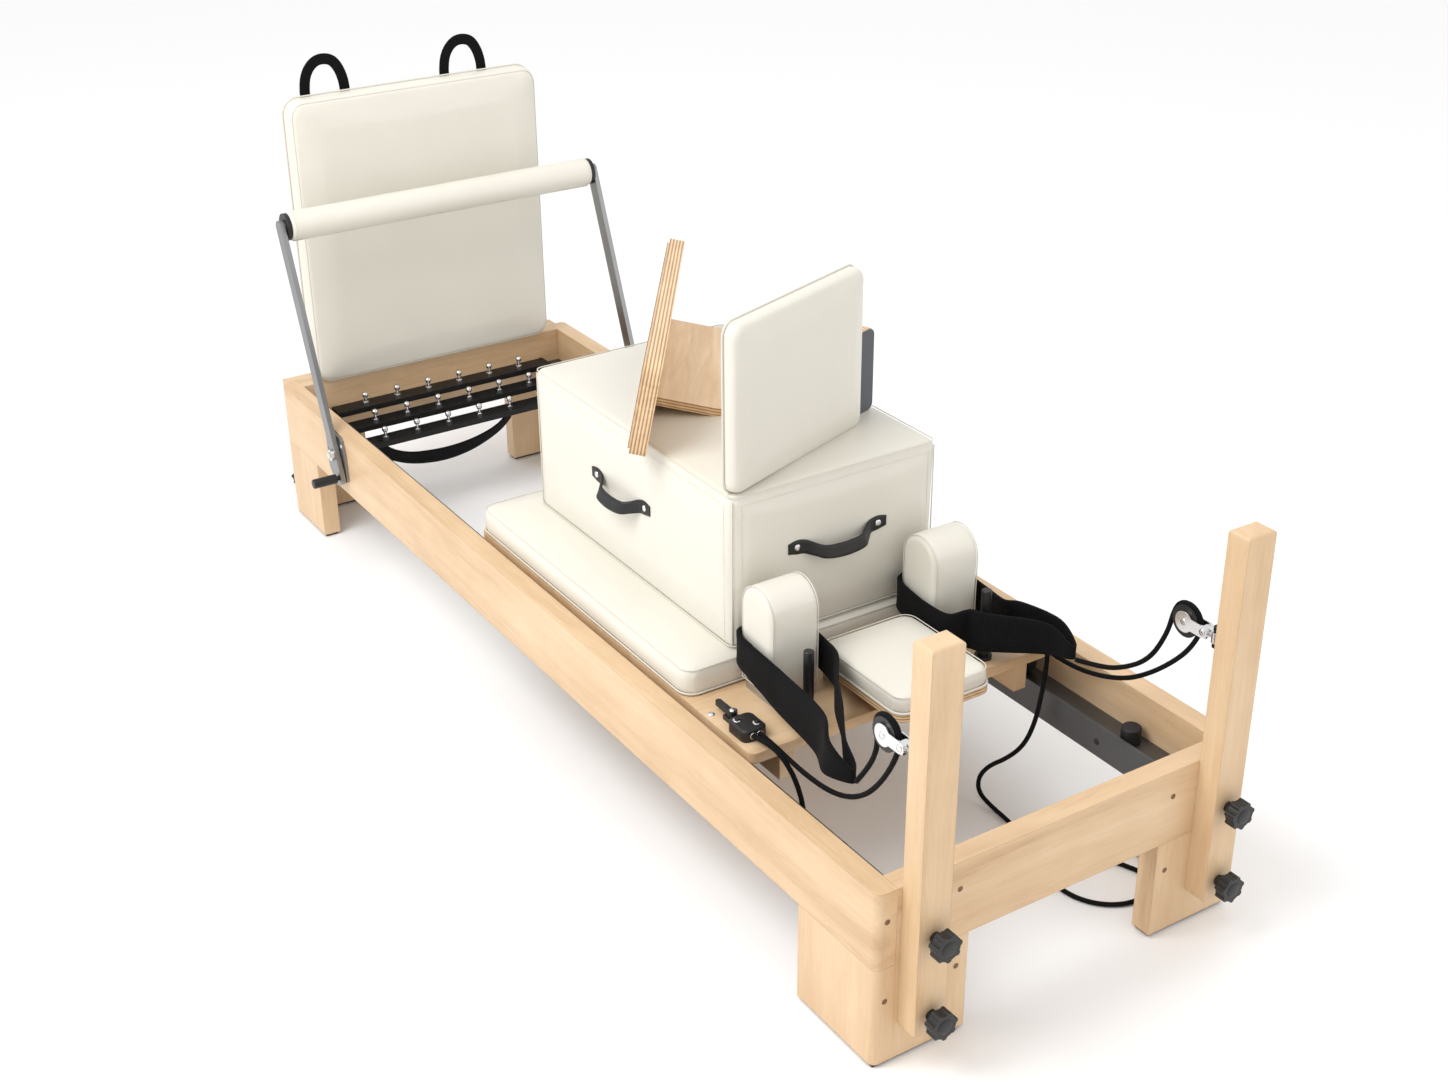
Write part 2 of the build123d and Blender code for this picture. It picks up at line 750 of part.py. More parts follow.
# ---- ropes and straps ----------------------------------------------------------------
def corner_radius(corners, i, pulley_corners):
    """The widest arc at corner i that leaves room for the arcs at its two neighbours."""
    reach = []
    for j in (i - 1, i + 1):
        run = (corners[j] - corners[i]).length
        reach.append(0.9 * (run - sheave_rope) if j in pulley_corners else 0.45 * run)
    turn = (corners[i] - corners[i - 1]).get_angle(corners[i + 1] - corners[i])
    return min(reach) / tan(radians(turn) / 2)


def rope(name, points, pulley_corners=()):
    """A tube of straight runs and tangent arcs. The corners at the pulley fit its sheave."""
    corners = [Vector(*p) for p in points]
    radii = [sheave_rope if i in pulley_corners else corner_radius(corners, i, pulley_corners)
             for i in range(1, len(corners) - 1)]
    path = FilletPolyline(*corners, radius=radii)
    start = Plane(origin=path @ 0, z_dir=path % 0)
    tube = sweep(start * Circle(rope_radius), path=path)
    print(name, "length", round(path.length), "radii", [round(r) for r in radii],
          "volume share", round(tube.volume / (pi * rope_radius ** 2 * path.length), 4))
    return tube


sheave_rope = sheave_radius + 1.2     # from the sheave's axis to the rope's centre line
sag_left = [(674.4, -266, 316), (704, -265, 315), (742, -263, 309), (792, -261, 304), (845, -260, 307),
            (893, -261, 323), (936, -264, 352), (974, -270, 392)]
sag_right = [(674.4, 266, 316), (704, 267, 316), (745, 269, 312), (800, 271, 314), (855, 272, 328),
             (905, 273, 350), (946, 275, 380), (982, 278, 414)]
strap_end_left = (900.0, -252.0, 352.0)
strap_end_right = (812.0, 246.0, 348.0)


def round_the_sheave(y):
    """Corners of the rope's way under, behind and over the sheave."""
    r = sheave_rope + 1.0
    return [(pulley_x + r, y, pulley_z - 0.45 * r), (pulley_x + r, y, pulley_z + r),
            (pulley_x - r, y, pulley_z + r), (pulley_x - r, y, pulley_z - 0.3 * r)]


def main_rope(name, sag, y, end):
    down = [(pulley_x - sheave_rope - 14, 0.7 * y + 0.3 * end[1], 452), (955, 0.4 * y + 0.6 * end[1], 408)]
    if end[0] < 880:
        down.append((900, 0.2 * y + 0.8 * end[1], 372))
    way = (Vector(*down[-1]) - Vector(*end)).normalized()
    clear = rope_radius * (1 - way.X ** 2) ** 0.5 + seat_gap
    last = (end[0] + clear, end[1], end[2])
    return rope(name, sag + round_the_sheave(y) + down + [last], (len(sag) + 1, len(sag) + 2))


tail_left = [(674.4, -278, 316), (704, -277, 322), (738, -273, 318), (764, -265, 290), (775, -256, 245),
             (778, -252, 190), (784, -252, 135), (785, -253, 85)]
tail_right = [(674.4, 278, 316), (700, 277, 326), (725, 266, 329), (742, 252, 296), (744, 243, 242),
              (742, 234, 190), (730, 224, 146), (700, 216, 108), (664, 211, 76), (642, 208, 42),
              (646, 206, 14), (680, 206, 4.4), (730, 203, 4.3), (785, 192, 4.4), (840, 172, 4.3),
              (895, 152, 4.4), (945, 152, 4.3), (988, 176, 4.4), (1012, 220, 4.3), (1006, 268, 4.4),
              (968, 294, 4.3), (922, 276, 4.4), (880, 258, 4.3)]

strap_height = 52.0
strap_ply = 3.0
strap_tip = 8.0
strap_bottom = 340.0


def strap_loop(y_sign, end):
    """A webbing loop on edge: round the shoulder rest and drawn to a tip at the rope."""
    gap = 1.5 + strap_ply
    x0, x1 = rest_foot_x - gap, rest_foot_x + rest_depth + 8
    ya = y_sign * (rest_inner_y - gap)
    yb = y_sign * (rest_inner_y + rest_width + gap)
    tip = y_sign * strap_tip
    outline = make_face(Polyline((x0, ya), (x1, ya), (end[0], end[1] - tip), (end[0], end[1] + tip),
                                 (x1, yb), (x0, yb), close=True))
    ring = outline - offset(outline, -strap_ply)
    return Pos(0, 0, strap_bottom) * extrude(ring, strap_height)


def shoulder_straps():
    return group(strap_loop(-1, strap_end_left), strap_loop(1, strap_end_right))


# ---- sitting box ---------------------------------------------------------------------
box_bottom = deck_top + pad_thickness + seat_gap
box_top = box_bottom + box_height
box_foot_x = box_head_x - box_length
handle_z = 506.0
handle_length = 192.0
handle_width = 24.0
handle_ply = 3.5
handle_rise = 26.0
side_handle_x = 160.0


def sitting_box():
    body = block(box_foot_x, box_head_x, -box_width / 2, box_width / 2, box_bottom, box_top)
    body = fillet(body.edges().filter_by(Axis.Z), box_side_round)
    return fillet(body.edges().group_by(Axis.Z)[-1], box_top_round)


def box_handle():
    """A leather handle against the plane Y = 0, bowed toward -Y, with its two rivets."""
    h, p, r = handle_length / 2, handle_ply, handle_rise
    bow = [(-h, 0), (-h + 34, 0), (-h + 52, -r + 8), (-h + 66, -r), (h - 66, -r), (h - 52, -r + 8),
           (h - 34, 0), (h, 0)]
    back = [(x, y - p) for x, y in bow]
    strap = make_face(Polyline(*bow, *reversed(back), close=True))
    strap = Pos(0, 0, -handle_width / 2) * extrude(strap, handle_width)
    rivets = [rod_y(x, -p - 2.5, -p, 0, 6.0) for x in (-h + 16, h - 16)]
    return [strap] + rivets


def box_handles():
    places = [Pos(side_handle_x, -box_width / 2, handle_z),
              Pos(side_handle_x, box_width / 2, handle_z) * Rot(0, 0, 180),
              Pos(box_head_x, 0, handle_z) * Rot(0, 0, 90),
              Pos(box_foot_x, 0, handle_z) * Rot(0, 0, -90)]
    return group(*[place * solid for place in places for solid in box_handle()])


# ---- the two platforms that stand on the box ------------------------------------------
platform_z = box_top + seat_gap
plank_length = 626.0
plank_height = 167.0
plank_thickness = 28.0
mat_thickness = 3.0
cleat_board_length = 370.0
cleat_board_width = 126.7
cleat_board_thickness = 15.0
cleat_board_start = 167.0
plank_lean = 11.36
cleat_board_lift = cleat_board_width * tan(radians(plank_lean))
standing_place = Pos(301.7, -239.2, platform_z) * Rot(0, 0, 145.0) * Rot(plank_lean, 0, 0)
padded_place = Pos(504.0, -196.0, platform_z) * Rot(0, 0, 109.6)
padded_length = 350.0
padded_height = 280.0
padded_thickness = 28.0
backing_shift = 70.0
backing_height = 150.0
backing_thickness = 15.0


def standing_board():
    """A plywood plank that leans on its long edge, and the thin mat on its outer face."""
    plank = block(0, plank_length, 0, plank_thickness, 0, plank_height)
    plank = fillet(plank.edges().filter_by(Axis.Y), 18.0)
    mat = block(8, plank_length - 8, plank_thickness, plank_thickness + mat_thickness, 8, plank_height - 8)
    mat = fillet(mat.edges().filter_by(Axis.Y), 12.0)
    return group(standing_place * plank, standing_place * mat)


def standing_cleat():
    """The plank's cross board. It slopes down from the plank until its far edge meets the box."""
    x0 = cleat_board_start
    z0 = cleat_board_lift
    plate = block(x0, x0 + cleat_board_length, -cleat_board_width, 0, z0, z0 + cleat_board_thickness)
    outer = plate.edges().filter_by(Axis.Z).group_by(Axis.Y)[0]
    return standing_place * fillet(outer, 28.0)


def padded_platform_pad():
    pad = block(0, padded_length, 0, padded_thickness, 0, padded_height)
    pad = fillet(pad.edges().filter_by(Axis.Y), 16.0)
    return padded_place * fillet(pad.edges().group_by(Axis.Y)[0], 8.0)


def padded_platform_base():
    """The padded platform's plywood board and the mat on it, set aside and behind the pad."""
    x0, x1 = backing_shift, padded_length + backing_shift
    y0 = padded_thickness
    mat = block(x0 + 4, x1 - 4, y0, y0 + mat_thickness, 4, backing_height - 4)
    y0 += mat_thickness
    board = block(x0, x1, y0, y0 + backing_thickness, 0, backing_height)
    board = fillet(board.edges().filter_by(Axis.Y), 18.0)
    mat = fillet(mat.edges().filter_by(Axis.Y), 15.0)
    return group(padded_place * board, padded_place * mat)


# ---- the whole -----------------------------------------------------------------------
def mirrored(shape):
    return mirror(shape, about=Plane.XZ)


save("side_rails", side_rails())
save("end_rails", end_rails())
save("legs", legs())
save("rubber_feet", rubber_feet())
save("frame_screws", group(*screw_solids()))
save("riser_posts", riser_posts())
save("tracks", group(*both_sides(track())))
save("track_stoppers", track_stoppers())
save("spring_bars", spring_bars())
save("spring_pins", spring_pins())
save("foot_strap", foot_strap())
save("footbar_plates", footbar_plates())
save("footbar_pivot_bolts", footbar_pivot_bolts())
save("pulley_brackets", pulley_brackets())

seat_x = half_length + riser_depth + 2 * seat_gap
riser_knob = star_knob(riser_depth + 2 * seat_gap + bolt_depth)
for side, y in (("left", -riser_y), ("right", riser_y)):
    for level, z in zip(("upper", "lower"), riser_knob_z):
        save("riser_knob_" + side + "_" + level, Pos(seat_x, y, z) * riser_knob)
    board_knob = Pos(seat_x, board_knob_y if y > 0 else -board_knob_y, board_knob_z) * riser_knob
    save("board_knob_" + side, mirror(board_knob, about=Plane.YZ))

save("footbar_arms", footbar_arms())
save("footbar_tube", footbar_tube())
save("footbar_pad", footbar_pad())
save("footbar_end_caps", footbar_end_caps())
save("locking_pin_left", locking_pin())
save("locking_pin_right", mirrored(locking_pin()))

save("jump_board_panel", jump_board_panel())
save("jump_board_pad", jump_board_pad())
save("jump_board_posts", jump_board_posts())
save("jump_board_loops", jump_board_loops())

save("carriage_deck", carriage_deck())
save("carriage_pad", carriage_pad())
save("carriage_runners", carriage_runners())
save("wheels_foot", wheel_pair(wheel_foot_x))
save("wheels_head", wheel_pair(wheel_head_x))
save("wheel_axles", wheel_axles())
save("springs", springs())
save("shoulder_rest_left", shoulder_rest())
save("shoulder_rest_right", mirrored(shoulder_rest()))
save("shoulder_rest_bases", rest_bases())
save("headrest_board", headrest_board())
save("headrest_pad", headrest_pad())
save("headrest_hinge", headrest_hinge())
save("strap_pegs", strap_pegs())
save("rope_cleats", rope_cleats())
save("cleat_lever_left", cleat_lever())
save("cleat_lever_right", mirrored(cleat_lever()))
save("shoulder_straps", shoulder_straps())

save("pulley_block_left", pulley_block())
save("pulley_block_right", mirrored(pulley_block()))
save("sheave_left", sheave())
save("sheave_right", mirrored(sheave()))
save("rope_left", group(main_rope("rope_left", sag_left, -riser_y, strap_end_left),
                        rope("tail_left", tail_left)))
save("rope_right", group(main_rope("rope_right", sag_right, riser_y, strap_end_right),
                         rope("tail_right", tail_right)))

save("sitting_box", sitting_box())
save("box_handles", box_handles())
save("standing_board", standing_board())
save("standing_cleat", standing_cleat())
save("padded_platform_pad", padded_platform_pad())
save("padded_platform_base", padded_platform_base())
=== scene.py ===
from math import cos, pi, radians, sin

import bpy
from mathutils import Matrix, Vector


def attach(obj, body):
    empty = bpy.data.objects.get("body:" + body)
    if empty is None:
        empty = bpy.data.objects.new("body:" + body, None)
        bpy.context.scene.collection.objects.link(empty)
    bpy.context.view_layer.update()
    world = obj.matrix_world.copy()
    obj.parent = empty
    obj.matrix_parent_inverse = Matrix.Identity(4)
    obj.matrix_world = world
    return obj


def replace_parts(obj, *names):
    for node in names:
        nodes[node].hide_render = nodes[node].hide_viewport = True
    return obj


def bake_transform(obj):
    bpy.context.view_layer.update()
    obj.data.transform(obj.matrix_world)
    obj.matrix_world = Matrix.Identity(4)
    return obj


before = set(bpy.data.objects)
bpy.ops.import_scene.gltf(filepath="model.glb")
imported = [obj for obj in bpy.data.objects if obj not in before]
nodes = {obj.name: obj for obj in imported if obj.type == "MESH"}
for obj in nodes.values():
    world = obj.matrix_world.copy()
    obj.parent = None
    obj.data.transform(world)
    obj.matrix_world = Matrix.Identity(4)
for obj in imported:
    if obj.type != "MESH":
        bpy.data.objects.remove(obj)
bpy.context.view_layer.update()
scene = bpy.context.scene

X, Y, Z = Vector((1, 0, 0)), Vector((0, 1, 0)), Vector((0, 0, 1))


# ---- materials -------------------------------------------------------------------------
class Shader:
    """A material's node tree, with short calls for the nodes used here."""

    def __init__(self, name):
        self.material = bpy.data.materials.new(name)
        self.material.use_nodes = True
        self.tree = self.material.node_tree
        self.surface = self.tree.nodes["Principled BSDF"]

    def node(self, kind, **inputs):
        made = self.tree.nodes.new(kind)
        for name, value in inputs.items():
            self.put(made.inputs[name.replace("_", " ")], value)
        return made

    def put(self, socket, value):
        if isinstance(value, bpy.types.NodeSocket):
            self.tree.links.new(value, socket)
        else:
            socket.default_value = value

    def place(self, scale, turn=(0, 0, 0), source="Object"):
        where = self.node("ShaderNodeTexCoord").outputs[source]
        return self.node("ShaderNodeMapping", Vector=where, Scale=scale, Rotation=turn).outputs[0]

    def noise(self, where, scale, detail=4.0, rough=0.55, distortion=0.0):
        return self.node("ShaderNodeTexNoise", Vector=where, Scale=scale, Detail=detail,
                         Roughness=rough, Distortion=distortion).outputs[0]

    def wave(self, where, scale, distortion=0.0, axis="X", detail=2.0):
        made = self.node("ShaderNodeTexWave", Vector=where, Scale=scale, Distortion=distortion,
                         Detail=detail)
        made.bands_direction = axis
        return made.outputs[1]

    def ramp(self, factor, *stops):
        made = self.node("ShaderNodeValToRGB", Fac=factor)
        bar = made.color_ramp.elements
        while len(bar) < len(stops):
            bar.new(0.5)
        for element, (place, colour) in zip(bar, stops):
            element.position = place
            element.color = (*colour, 1)
        return made.outputs[0]

    def maths(self, operation, a, b):
        made = self.node("ShaderNodeMath")
        made.operation = operation
        self.put(made.inputs[0], a)
        self.put(made.inputs[1], b)
        return made.outputs[0]

    def mix(self, factor, a, b):
        made = self.tree.nodes.new("ShaderNodeMix")
        made.data_type = "RGBA"
        self.put(made.inputs[0], factor)
        self.put(made.inputs[6], a)
        self.put(made.inputs[7], b)
        return made.outputs[2]

    def bump(self, height, strength, distance=0.001, edge=0.0):
        made = self.node("ShaderNodeBump", Height=height, Strength=strength, Distance=distance)
        if edge:
            soft = self.node("ShaderNodeBevel", Radius=edge)
            soft.samples = 4
            self.put(made.inputs["Normal"], soft.outputs[0])
        return made.outputs[0]

    def finish(self, colour, roughness, normal=None, **constants):
        self.put(self.surface.inputs["Base Color"], colour)
        self.put(self.surface.inputs["Roughness"], roughness)
        if normal is not None:
            self.put(self.surface.inputs["Normal"], normal)
        for name, value in constants.items():
            self.surface.inputs[name.replace("_", " ")].default_value = value
        return self.material


def maple(name, axis, light=1.0):
    """Pale maple with its grain along one axis."""
    s = Shader(name)
    stretch = {"X": (0.7, 9, 9), "Y": (9, 0.7, 9), "Z": (9, 9, 0.7)}[axis]
    where = s.place(stretch)
    broad = s.noise(where, 1.6, 3.0, 0.5, 0.8)
    fine = s.noise(where, 14.0, 6.0, 0.72, 1.1)
    cloud = s.noise(s.place((3, 3, 3)), 2.2, 2.0)
    grain = s.maths("ADD", s.maths("MULTIPLY", broad, 0.62), s.maths("MULTIPLY", fine, 0.38))
    dark, mid, pale = (0.50, 0.315, 0.165), (0.665, 0.465, 0.275), (0.76, 0.575, 0.375)
    tint = s.ramp(grain, (0.28, [c * light for c in dark]), (0.47, [c * light for c in mid]),
                  (0.7, [c * light for c in pale]))
    warm = s.ramp(cloud, (0.35, (0.93, 0.90, 0.86)), (0.65, (1.0, 1.0, 1.0)))
    mixer = s.tree.nodes.new("ShaderNodeMix")
    mixer.data_type, mixer.blend_type = "RGBA", "MULTIPLY"
    s.put(mixer.inputs[0], 1.0)
    s.put(mixer.inputs[6], tint)
    s.put(mixer.inputs[7], warm)
    rough = s.maths("ADD", 0.33, s.maths("MULTIPLY", fine, 0.2))
    return s.finish(mixer.outputs[2], rough, s.bump(fine, 0.12, 0.0006, 0.0022),
                    Coat_Weight=0.12, Coat_Roughness=0.35)


def plywood(name, turn, layer_axis, ply, grain, lean=0.0, first=(0, 0, 0)):
    """Glued plies that show on the edges; the broad faces take one ply's colour."""
    s = Shader(name)
    upright = s.place((1, 1, 1), (0, 0, radians(turn)))
    where = s.node("ShaderNodeMapping", Vector=upright, Rotation=(-radians(lean), 0, 0),
                   Location=first).outputs[0]
    layers = s.wave(where, 157.0 / ply, 0.35, layer_axis, 1.0)
    laid = s.node("ShaderNodeMapping", Vector=where, Scale=grain).outputs[0]
    streak = s.noise(laid, 7.0, 5.0, 0.7, 0.6)
    wood = s.ramp(streak, (0.3, (0.68, 0.46, 0.26)), (0.7, (0.84, 0.65, 0.43)))
    dark = s.ramp(streak, (0.3, (0.30, 0.155, 0.065)), (0.7, (0.50, 0.30, 0.15)))
    line = s.ramp(layers, (0.34, (0, 0, 0)), (0.5, (1, 1, 1)))
    return s.finish(s.mix(line, dark, wood), 0.48, s.bump(streak, 0.15, 0.0005, 0.0012))


def vinyl(name, colour):
    """Smooth upholstery vinyl with a fine pebble and slow waves in its surface."""
    s = Shader(name)
    where = s.place((1, 1, 1))
    pebble = s.node("ShaderNodeTexVoronoi", Vector=where, Scale=620.0).outputs[0]
    slow = s.noise(where, 11.0, 2.0, 0.45)
    tone = s.noise(where, 5.0, 3.0)
    tint = s.ramp(tone, (0.3, [c * 0.965 for c in colour]), (0.7, colour))
    small = s.bump(pebble, 0.10, 0.0003)
    wide = s.node("ShaderNodeBump", Height=slow, Strength=0.35, Distance=0.006, Normal=small)
    rough = s.maths("ADD", 0.34, s.maths("MULTIPLY", tone, 0.16))
    return s.finish(tint, rough, wide.outputs[0], Sheen_Weight=0.05, Specular_IOR_Level=0.42,
                    Coat_Weight=0.06, Coat_Roughness=0.4)


def metal(name, colour, roughness, stretch=(1, 1, 1), edge=0.0008, depth=0.25, metallic=1.0):
    """Metal with fine brushing or casting marks."""
    s = Shader(name)
    brushed = s.noise(s.place(stretch), 60.0, 3.0, 0.6)
    wear = s.noise(s.place((1, 1, 1)), 9.0, 3.0)
    tint = s.ramp(wear, (0.3, [c * 0.86 for c in colour]), (0.7, colour))
    rough = s.maths("ADD", roughness, s.maths("MULTIPLY", brushed, depth))
    return s.finish(tint, rough, s.bump(brushed, 0.12, 0.0002, edge), Metallic=metallic)


def solid(name, colour, roughness, scale=260.0, strength=0.3, distance=0.0005, edge=0.0008, sheen=0.0):
    """Rubber or moulded plastic with a fine texture."""
    s = Shader(name)
    where = s.place((1, 1, 1))
    grain = s.noise(where, scale, 3.0)
    dust = s.noise(where, 14.0, 3.0)
    tint = s.ramp(dust, (0.3, colour), (0.8, [c * 1.25 + 0.001 for c in colour]))
    rough = s.maths("ADD", roughness, s.maths("MULTIPLY", dust, 0.15))
    return s.finish(tint, rough, s.bump(grain, strength, distance, edge), Sheen_Weight=sheen)


def woven(name, colour, threads, source="UV", sheen=0.02, strength=0.9, distance=0.0006):
    """Crossing threads laid along the piece's own length."""
    s = Shader(name)
    where = s.place((threads[0], threads[1], 1), (0, 0, 0), source)
    one = s.wave(where, 1.0, 0.3, "DIAGONAL", 1.0)
    turned = s.place((threads[0], -threads[1], 1), (0, 0, 0), source)
    two = s.wave(turned, 1.0, 0.3, "DIAGONAL", 1.0)
    weave = s.maths("MULTIPLY", one, two)
    lint = s.noise(s.place((1, 1, 1)), 40.0, 4.0)
    tint = s.ramp(s.maths("ADD", s.maths("MULTIPLY", weave, 0.7), s.maths("MULTIPLY", lint, 0.3)),
                  (0.15, [c * 0.45 for c in colour]), (0.75, colour))
    return s.finish(tint, 0.82, s.bump(weave, strength, distance), Sheen_Weight=sheen,
                    Sheen_Roughness=0.5, Specular_IOR_Level=0.12)


maple_x, maple_y, maple_z = (maple("maple_" + a, a) for a in "XYZ")
plank_turn, plank_lean = 145.0, 11.36
ply_flat = plywood("ply_flat", 0, "Z", 2.6, (0.8, 6, 6))
ply_plank = plywood("ply_plank", -plank_turn, "Y", 2.9, (0.8, 4, 6), plank_lean, (0, 0.0022, 0))
ply_cross = plywood("ply_cross", -plank_turn, "Z", 2.6, (0.8, 6, 6), plank_lean, (0, 0, -0.0026))
ply_panel = plywood("ply_panel", 0, "X", 2.4, (6, 4, 0.8))
ply_padded = plywood("ply_padded", -109.6, "Y", 2.5, (0.8, 4, 6))
cream = vinyl("cream_vinyl", (0.715, 0.685, 0.605))
# The seams and piping take a darker copy of the cream vinyl: painted shade along the seam creases.
cream_seam_shaded = vinyl("cream_seam_shaded", (0.665, 0.635, 0.555))
thread = solid("cream_thread", (0.60, 0.57, 0.49), 0.6, 500.0)
black_rubber = solid("black_rubber", (0.009, 0.009, 0.0095), 0.55)
black_plastic = solid("black_plastic", (0.007, 0.007, 0.0075), 0.36, 700.0, 0.2, 0.0003)
grey_mat = solid("grey_mat", (0.085, 0.09, 0.10), 0.7, 300.0, 0.5)
leather = solid("black_leather", (0.0055, 0.005, 0.005), 0.42, 900.0, 0.5, 0.0004, 0.0, 0.0)
webbing = woven("black_webbing", (0.0065, 0.0065, 0.007), (0.3, 0.3))
cord_cover = woven("black_cord", (0.007, 0.007, 0.0075), (0.26, 0.26))
steel = metal("steel_brushed", (0.30, 0.30, 0.305), 0.24, (30, 30, 1.5))
chrome = metal("chrome", (0.78, 0.78, 0.79), 0.10, (8, 8, 8), depth=0.1)
aluminium = metal("dark_aluminium", (0.17, 0.175, 0.185), 0.34, (1, 40, 40), depth=0.2)
black_steel = metal("black_steel", (0.016, 0.016, 0.017), 0.35, (30, 1, 30), depth=0.2, metallic=0.6)
plug = solid("screw_plug", (0.16, 0.085, 0.04), 0.5)
grey_metal = metal("grey_metal", (0.55, 0.55, 0.56), 0.36, (20, 20, 20))

finishes = {
    maple_x: ("side_rails", "carriage_runners"),
    maple_y: ("end_rails", "carriage_deck"),
    maple_z: ("legs", "riser_posts", "jump_board_posts"),
    ply_flat: ("headrest_board",),
    ply_cross: ("standing_cleat",),
    ply_panel: ("jump_board_panel",),
    ply_plank: ("standing_board",),
    ply_padded: ("padded_platform_base",),
    aluminium: ("tracks",),
    black_steel: ("spring_bars", "pulley_brackets"),
    chrome: ("spring_pins", "wheel_axles", "pulley_block_left", "pulley_block_right",
             "footbar_pivot_bolts"),
    steel: ("footbar_plates", "footbar_arms", "footbar_tube"),
    grey_metal: ("shoulder_rest_bases", "headrest_hinge"),
    plug: ("frame_screws",),
    black_rubber: ("rubber_feet", "track_stoppers", "wheels_foot", "wheels_head"),
    black_plastic: ("riser_knob_left_upper", "riser_knob_left_lower", "riser_knob_right_upper",
                    "riser_knob_right_lower", "board_knob_left", "board_knob_right", "strap_pegs",
                    "rope_cleats", "cleat_lever_left", "cleat_lever_right", "locking_pin_left",
                    "locking_pin_right", "footbar_end_caps", "sheave_left", "sheave_right"),
}
for material, names in finishes.items():
    for name in names:
        nodes[name].data.materials.clear()
        nodes[name].data.materials.append(material)


# ---- shapes ----------------------------------------------------------------------------
def mesh(name, verts, faces, material, smooth=True):
    """A new mesh object in the scene, with one material."""
    data = bpy.data.meshes.new(name)
    data.from_pydata([tuple(v) for v in verts], [], faces)
    data.materials.append(material)
    data.polygons.foreach_set("use_smooth", [smooth] * len(data.polygons))
    made = bpy.data.objects.new(name, data)
    scene.collection.objects.link(made)
    return made


def curve_through(points, steps=6, closed=False):
    """A smooth line through the points."""
    p = [Vector(q) for q in points]
    n = len(p)
    line = []
    for i in range(n if closed else n - 1):
        if closed:
            a, b, c, d = p[i - 1], p[i], p[(i + 1) % n], p[(i + 2) % n]
        else:
            a, b, c, d = p[max(i - 1, 0)], p[i], p[i + 1], p[min(i + 2, n - 1)]
        for k in range(steps):
            t = k / steps
            line.append(0.5 * (2 * b + (c - a) * t + (2 * a - 5 * b + 4 * c - d) * t * t
                               + (3 * b - a - 3 * c + d) * t ** 3))
    if not closed:
        line.append(p[-1])
    return line


def tangents(line, closed):
    """The line's direction at each of its points."""
    n = len(line)
    found = []
    for i in range(n):
        a = line[i - 1] if i or closed else line[0]
        b = line[(i + 1) % n] if i < n - 1 or closed else line[-1]
        found.append((b - a).normalized())
    return found


def loft(name, line, sections, material, closed=False, thread_length=0.004):
    """A skin through one section (a list of corners) at each point, with a UV map along it."""
    n, m = len(line), len(sections[0])
    verts = [v for section in sections for v in section]
    faces = []
    for i in range(n if closed else n - 1):
        j = (i + 1) % n
        faces += [(i * m + k, i * m + (k + 1) % m, j * m + (k + 1) % m, j * m + k) for k in range(m)]
    if not closed:
        faces += [tuple(range(m))[::-1], tuple(range((n - 1) * m, n * m))]
    made = mesh(name, verts, faces, material)
    along = [0.0]
    for a, b in zip(line, line[1:] + line[:1]):
        along.append(along[-1] + (b - a).length / thread_length)
    round_it = [0.0]
    for k in range(m):
        step = (sections[0][(k + 1) % m] - sections[0][k]).length
        round_it.append(round_it[-1] + step / thread_length)
    layer = made.data.uv_layers.new(name="along")
    at = 0
    for i in range(n if closed else n - 1):
        for k in range(m):
            for u, v in ((i, k), (i, k + 1), (i + 1, k + 1), (i + 1, k)):
                layer.data[at].uv = (along[u], round_it[v])
                at += 1
    return made


def tube(name, line, radius, material, closed=False, sides=12):
    """A round skin along a line, which turns as little as it can."""
    across = tangents(line, closed)
    side = across[0].orthogonal().normalized()
    sections = []
    for point, forward in zip(line, across):
        side = (side - forward * side.dot(forward)).normalized()
        up = forward.cross(side)
        sections.append([point + (side * cos(2 * pi * k / sides) + up * sin(2 * pi * k / sides)) * radius
                         for k in range(sides)])
    return loft(name, line, sections, material, closed, 0.0022)


def ribbon(name, points, widths, thick, material, upright=Z, closed=False, steps=6, flare=()):
    """A flat strap through the points. upright is the way its width runs."""
    line = curve_through(points, steps, closed)
    wide = curve_through([(w, 0, 0) for w in widths], steps, closed)
    deep = curve_through([(t, 0, 0) for t in thick], steps, closed)
    lean = curve_through(flare or [upright] * len(points), steps, closed)
    sections = []
    for point, forward, w, t, up in zip(line, tangents(line, closed), wide, deep, lean):
        up = (up - forward * up.dot(forward)).normalized()
        out = forward.cross(up)
        a, b = w.x / 2, t.x / 2
        outline = [(-a, -b * 0.3), (-a * 0.94, -b), (-a * 0.5, -b * 0.92), (0, -b * 0.88),
                   (a * 0.5, -b * 0.92), (a * 0.94, -b), (a, -b * 0.3), (a, b * 0.3), (a * 0.94, b),
                   (a * 0.5, b * 0.92), (0, b * 0.88), (-a * 0.5, b * 0.92), (-a * 0.94, b), (-a, b * 0.3)]
        sections.append([point + up * p + out * q for p, q in outline])
    return loft(name, line, sections, material, closed, 0.0016)


def rounded(length, width, radius, steps=6):
    """A rounded rectangle about the origin, anticlockwise."""
    line = []
    for sx, sy, start in ((1, -1, -90), (1, 1, 0), (-1, 1, 90), (-1, -1, 180)):
        centre = Vector((sx * (length / 2 - radius), sy * (width / 2 - radius), 0))
        for k in range(steps + 1):
            a = radians(start + 90 * k / steps)
            line.append(centre + Vector((cos(a), sin(a), 0)) * radius)
    return line


def arch(width, height, steps=18):
    """An upright outline with a half-round top, its foot on the X axis."""
    r = width / 2
    line = [Vector((-r, 0, 0)), Vector((r, 0, 0))]
    for k in range(steps + 1):
        a = pi * k / steps
        line.append(Vector((r * cos(a), height - r + r * sin(a), 0)))
    return line


